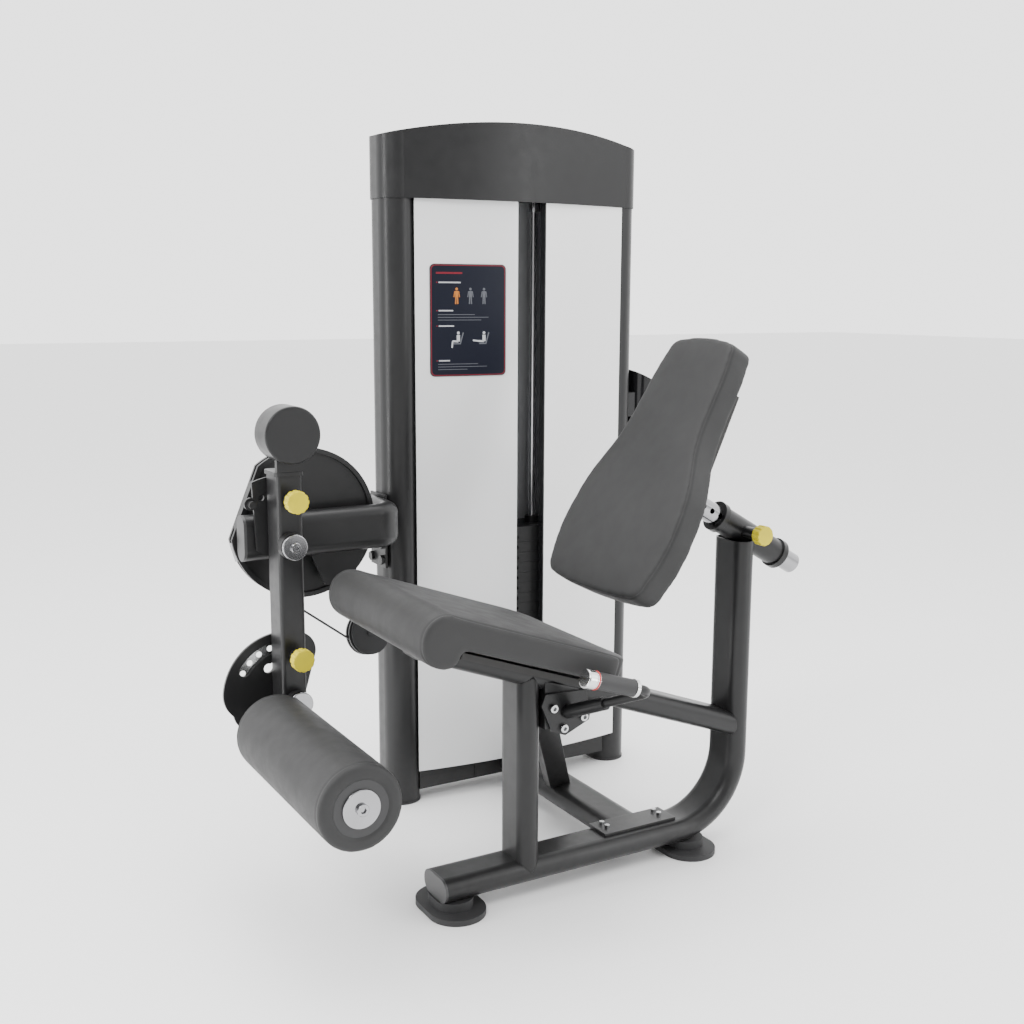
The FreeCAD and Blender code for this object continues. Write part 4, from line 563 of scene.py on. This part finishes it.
def film(name, outline, lift, material):
    """A flat printed shape, given as (u, v) points from the placard's lower left, wrapped on its face."""
    mesh = bpy.data.meshes.new(name)
    bm = bmesh.new()
    low = [bm.verts.new((placard_low.x + u, 0, placard_low.z + v)) for u, v in outline]
    bm.faces.new(low)
    us = [p[0] for p in outline]
    if max(us) - min(us) > 12 * MM:
        steps = int((max(us) - min(us)) / (8 * MM))
        for k in range(1, steps):
            x = placard_low.x + min(us) + (max(us) - min(us)) * k / steps
            geom = bm.verts[:] + bm.edges[:] + bm.faces[:]
            bmesh.ops.bisect_plane(bm, geom=geom, plane_co=(x, 0, 0), plane_no=(1, 0, 0))
    inside = Vector(((placard_low.x + placard_high.x) / 2, 0, placard_mid_z))
    for v in bm.verts:
        near = v.co.lerp(inside, 0.01)
        v.co.y = placard_y(near.x, near.z) - lift
    shell = bmesh.ops.extrude_face_region(bm, geom=bm.faces[:])
    for v in shell["geom"]:
        if isinstance(v, bmesh.types.BMVert):
            v.co.y -= 0.12 * MM
    bmesh.ops.recalc_face_normals(bm, faces=bm.faces)
    bm.to_mesh(mesh)
    bm.free()
    obj = add_object(name, mesh, material, smooth=False)
    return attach(obj, "frame")


def rounded(u0, v0, u1, v1, r, steps=6):
    points = []
    corners = ((u1 - r, v0 + r, -90), (u1 - r, v1 - r, 0), (u0 + r, v1 - r, 90), (u0 + r, v0 + r, 180))
    for cu, cv, start in corners:
        for k in range(steps + 1):
            a = math.radians(start + 90 * k / steps)
            points.append((cu + r * math.cos(a), cv + r * math.sin(a)))
    return points


def disc(u, v, r, steps=18):
    angles = [2 * math.pi * k / steps for k in range(steps)]
    return [(u + r * math.cos(a), v + r * math.sin(a)) for a in angles]


def bar(a, b, width):
    """A straight limb between two points."""
    du, dv = b[0] - a[0], b[1] - a[1]
    n = math.hypot(du, dv)
    nu, nv = -dv / n * width / 2, du / n * width / 2
    return [(a[0] + nu, a[1] + nv), (a[0] - nu, a[1] - nv), (b[0] - nu, b[1] - nv), (b[0] + nu, b[1] + nv)]


def ink(name, color, rough=0.35):
    g = Graph(name)
    speck = g.noise(1800.0, 2.0)
    tone = g.mix(g.span(speck, 0.3, 0.7, 0.0, 1.0), shade(color, 0.9), shade(color, 1.1))
    gloss = g.span(speck, 0.2, 0.8, rough, rough + 0.06)
    g.set(Base_Color=tone, Roughness=gloss, Normal=g.bump(speck, 0.04, 0.03 * MM))
    g.bsdf.inputs["Specular IOR Level"].default_value = 0.2
    return g.material


NAVY = ink("placard_navy", (0.0035, 0.005, 0.013))
CRIMSON = ink("placard_crimson", (0.16, 0.012, 0.022))
PALE = ink("placard_pale", (0.45, 0.46, 0.48))
DIM = ink("placard_dim", (0.10, 0.105, 0.12))
AMBER = ink("placard_amber", (0.45, 0.16, 0.03))
width = placard_high.x - placard_low.x
height = placard_high.z - placard_low.z
EDGE = 2.0 * MM
film("placard_border", rounded(EDGE, EDGE, width - EDGE, height - EDGE, 10 * MM), 0.02 * MM, CRIMSON)
inner = rounded(2 * EDGE, 2 * EDGE, width - 2 * EDGE, height - 2 * EDGE, 9 * MM)
film("placard_field", inner, 0.16 * MM, NAVY)
LIFT = 0.30 * MM


def strip(name, u, v, length, thick, material):
    film(name, [(u, v), (u + length, v), (u + length, v + thick), (u, v + thick)], LIFT, material)


def figure(name, u, v, size, seated, material):
    """A plain pictogram person, standing or seated with the legs bent or held out."""
    film(name + "_head", disc(u, v + size * 0.92, size * 0.085), LIFT, material)
    hip = (u, v + size * 0.42)
    film(name + "_trunk", bar(hip, (u, v + size * 0.80), size * 0.20), LIFT, material)
    if seated is None:
        for side in (-1, 1):
            leg = bar((u + side * size * 0.05, v + size * 0.42), (u + side * size * 0.07, v), size * 0.08)
            film("%s_leg%d" % (name, side), leg, LIFT, material)
            shoulder = (u + side * size * 0.13, v + size * 0.78)
            hand = (u + side * size * 0.18, v + size * 0.42)
            film("%s_arm%d" % (name, side), bar(shoulder, hand, size * 0.06), LIFT, material)
        return
    knee = (u - size * 0.36, v + size * 0.44)
    if seated == "out":
        foot = (knee[0] - size * 0.36, knee[1] + size * 0.04)
    else:
        foot = (knee[0] - size * 0.04, v + size * 0.05)
    film(name + "_thigh", bar(hip, knee, size * 0.11), LIFT, material)
    film(name + "_shin", bar(knee, foot, size * 0.09), LIFT, material)


LEFT = 14 * MM
strip("title_line", LEFT, height - 22 * MM, 62 * MM, 4.2 * MM, CRIMSON)
for k, v in enumerate((height - 42 * MM, height - 104 * MM, height - 138 * MM, 34 * MM)):
    film("mark_%d" % k, disc(LEFT + 2 * MM, v + 1.4 * MM, 1.6 * MM, 12), LIFT, CRIMSON)
    strip("heading_%d" % k, LEFT + 6 * MM, v, (52, 34, 36, 26)[k] * MM, 2.8 * MM, PALE)
for k in range(3):
    strip("prepare_%d" % k, LEFT + 4 * MM, height - (112 + 6 * k) * MM, (88, 122, 104)[k] * MM, 1.3 * MM, DIM)
    strip("warning_%d" % k, LEFT + 4 * MM, (27 - 6 * k) * MM, (96, 118, 70)[k] * MM, 1.3 * MM, DIM)
for k, material in enumerate((AMBER, DIM, DIM)):
    figure("muscle_%d" % k, width * (0.34 + 0.18 * k), height - 88 * MM, 36 * MM, None, material)
for k, legs in enumerate(("down", "out")):
    figure("exercise_%d" % k, width * (0.36 + 0.34 * k), 62 * MM, 38 * MM, legs, PALE)
    u = width * (0.36 + 0.34 * k)
    film("seat_back_%d" % k, bar((u + 5 * MM, 74 * MM), (u + 12 * MM, 98 * MM), 3 * MM), LIFT, DIM)
    film("seat_base_%d" % k, bar((u - 12 * MM, 73 * MM), (u + 6 * MM, 73 * MM), 3 * MM), LIFT, DIM)

# ------------------------------------------------------------------ studio

CAMERA_PLACE = Vector((-1.317, -2.209, 1.180))
HEADING = math.radians(30.0)
PITCH = math.radians(9.8)
ROLL = math.radians(0.23)
LENS = 43.95
SKY_BEHIND = 0.50
SKY_AHEAD = 2.6
FLOOR_HALF = 30.0


def studio():
    world = bpy.data.worlds.new("studio")
    bpy.context.scene.world = world
    world.use_nodes = True
    tree = world.node_tree
    background = tree.nodes["Background"]
    place = tree.nodes.new("ShaderNodeTexCoord")
    facing = tree.nodes.new("ShaderNodeVectorMath")
    facing.operation = "DOT_PRODUCT"
    facing.inputs[1].default_value = (math.sin(HEADING), math.cos(HEADING), 0.35)
    tree.links.new(place.outputs["Generated"], facing.inputs[0])
    fade = tree.nodes.new("ShaderNodeMapRange")
    fade.interpolation_type = "SMOOTHSTEP"
    spread = (("From Min", -0.9), ("From Max", 0.5), ("To Min", SKY_BEHIND), ("To Max", SKY_AHEAD))
    for name, number in spread:
        fade.inputs[name].default_value = number
    tree.links.new(facing.outputs["Value"], fade.inputs["Value"])
    tree.links.new(fade.outputs["Result"], background.inputs["Strength"])
    background.inputs["Color"].default_value = (1.0, 1.0, 1.0, 1.0)
    floor_mesh = bpy.data.meshes.new("floor")
    bm = bmesh.new()
    bmesh.ops.create_grid(bm, x_segments=1, y_segments=1, size=FLOOR_HALF)
    bm.to_mesh(floor_mesh)
    bm.free()
    g = Graph("floor")
    g.set(Base_Color=g.mix(g.noise(3.0), (0.94, 0.94, 0.94, 1), (0.96, 0.96, 0.96, 1)), Roughness=0.55)
    floor = add_object("floor", floor_mesh, g.material)
    for name, place, aim, wide, tall, power in (
        ("key", (-2.6, -1.8, 3.4), (0.0, 0.0, 0.7), 1.4, 1.4, 95.0),
        ("fill", (2.8, -2.6, 2.4), (0.0, 0.0, 0.8), 2.0, 2.0, 24.0),
        ("top", (0.2, 0.4, 4.2), (0.0, 0.0, 0.0), 2.4, 2.4, 90.0),
        ("strip_left", (-3.2, 0.2, 1.3), (0.0, 0.0, 0.9), 0.4, 2.6, 60.0),
        ("strip_right", (1.9, -2.9, 1.3), (0.0, 0.0, 0.9), 0.3, 2.4, 20.0),
    ):
        light = bpy.data.lights.new(name, "AREA")
        light.shape = "RECTANGLE"
        light.size = wide
        light.size_y = tall
        light.energy = power
        lamp = bpy.data.objects.new(name, light)
        lamp.location = place
        lamp.rotation_euler = (Vector(aim) - Vector(place)).to_track_quat("-Z", "Y").to_euler()
        bpy.context.scene.collection.objects.link(lamp)
    data = bpy.data.cameras.new("camera")
    data.lens = LENS
    data.sensor_width = 36.0
    camera = bpy.data.objects.new("camera", data)
    bpy.context.scene.collection.objects.link(camera)
    level = math.cos(PITCH)
    view = Vector((math.sin(HEADING) * level, math.cos(HEADING) * level, -math.sin(PITCH)))
    turn = view.to_track_quat("-Z", "Y").to_matrix().to_4x4() @ Matrix.Rotation(ROLL, 4, "Z")
    camera.matrix_world = Matrix.Translation(CAMERA_PLACE) @ turn
    bpy.context.scene.camera = camera


studio()
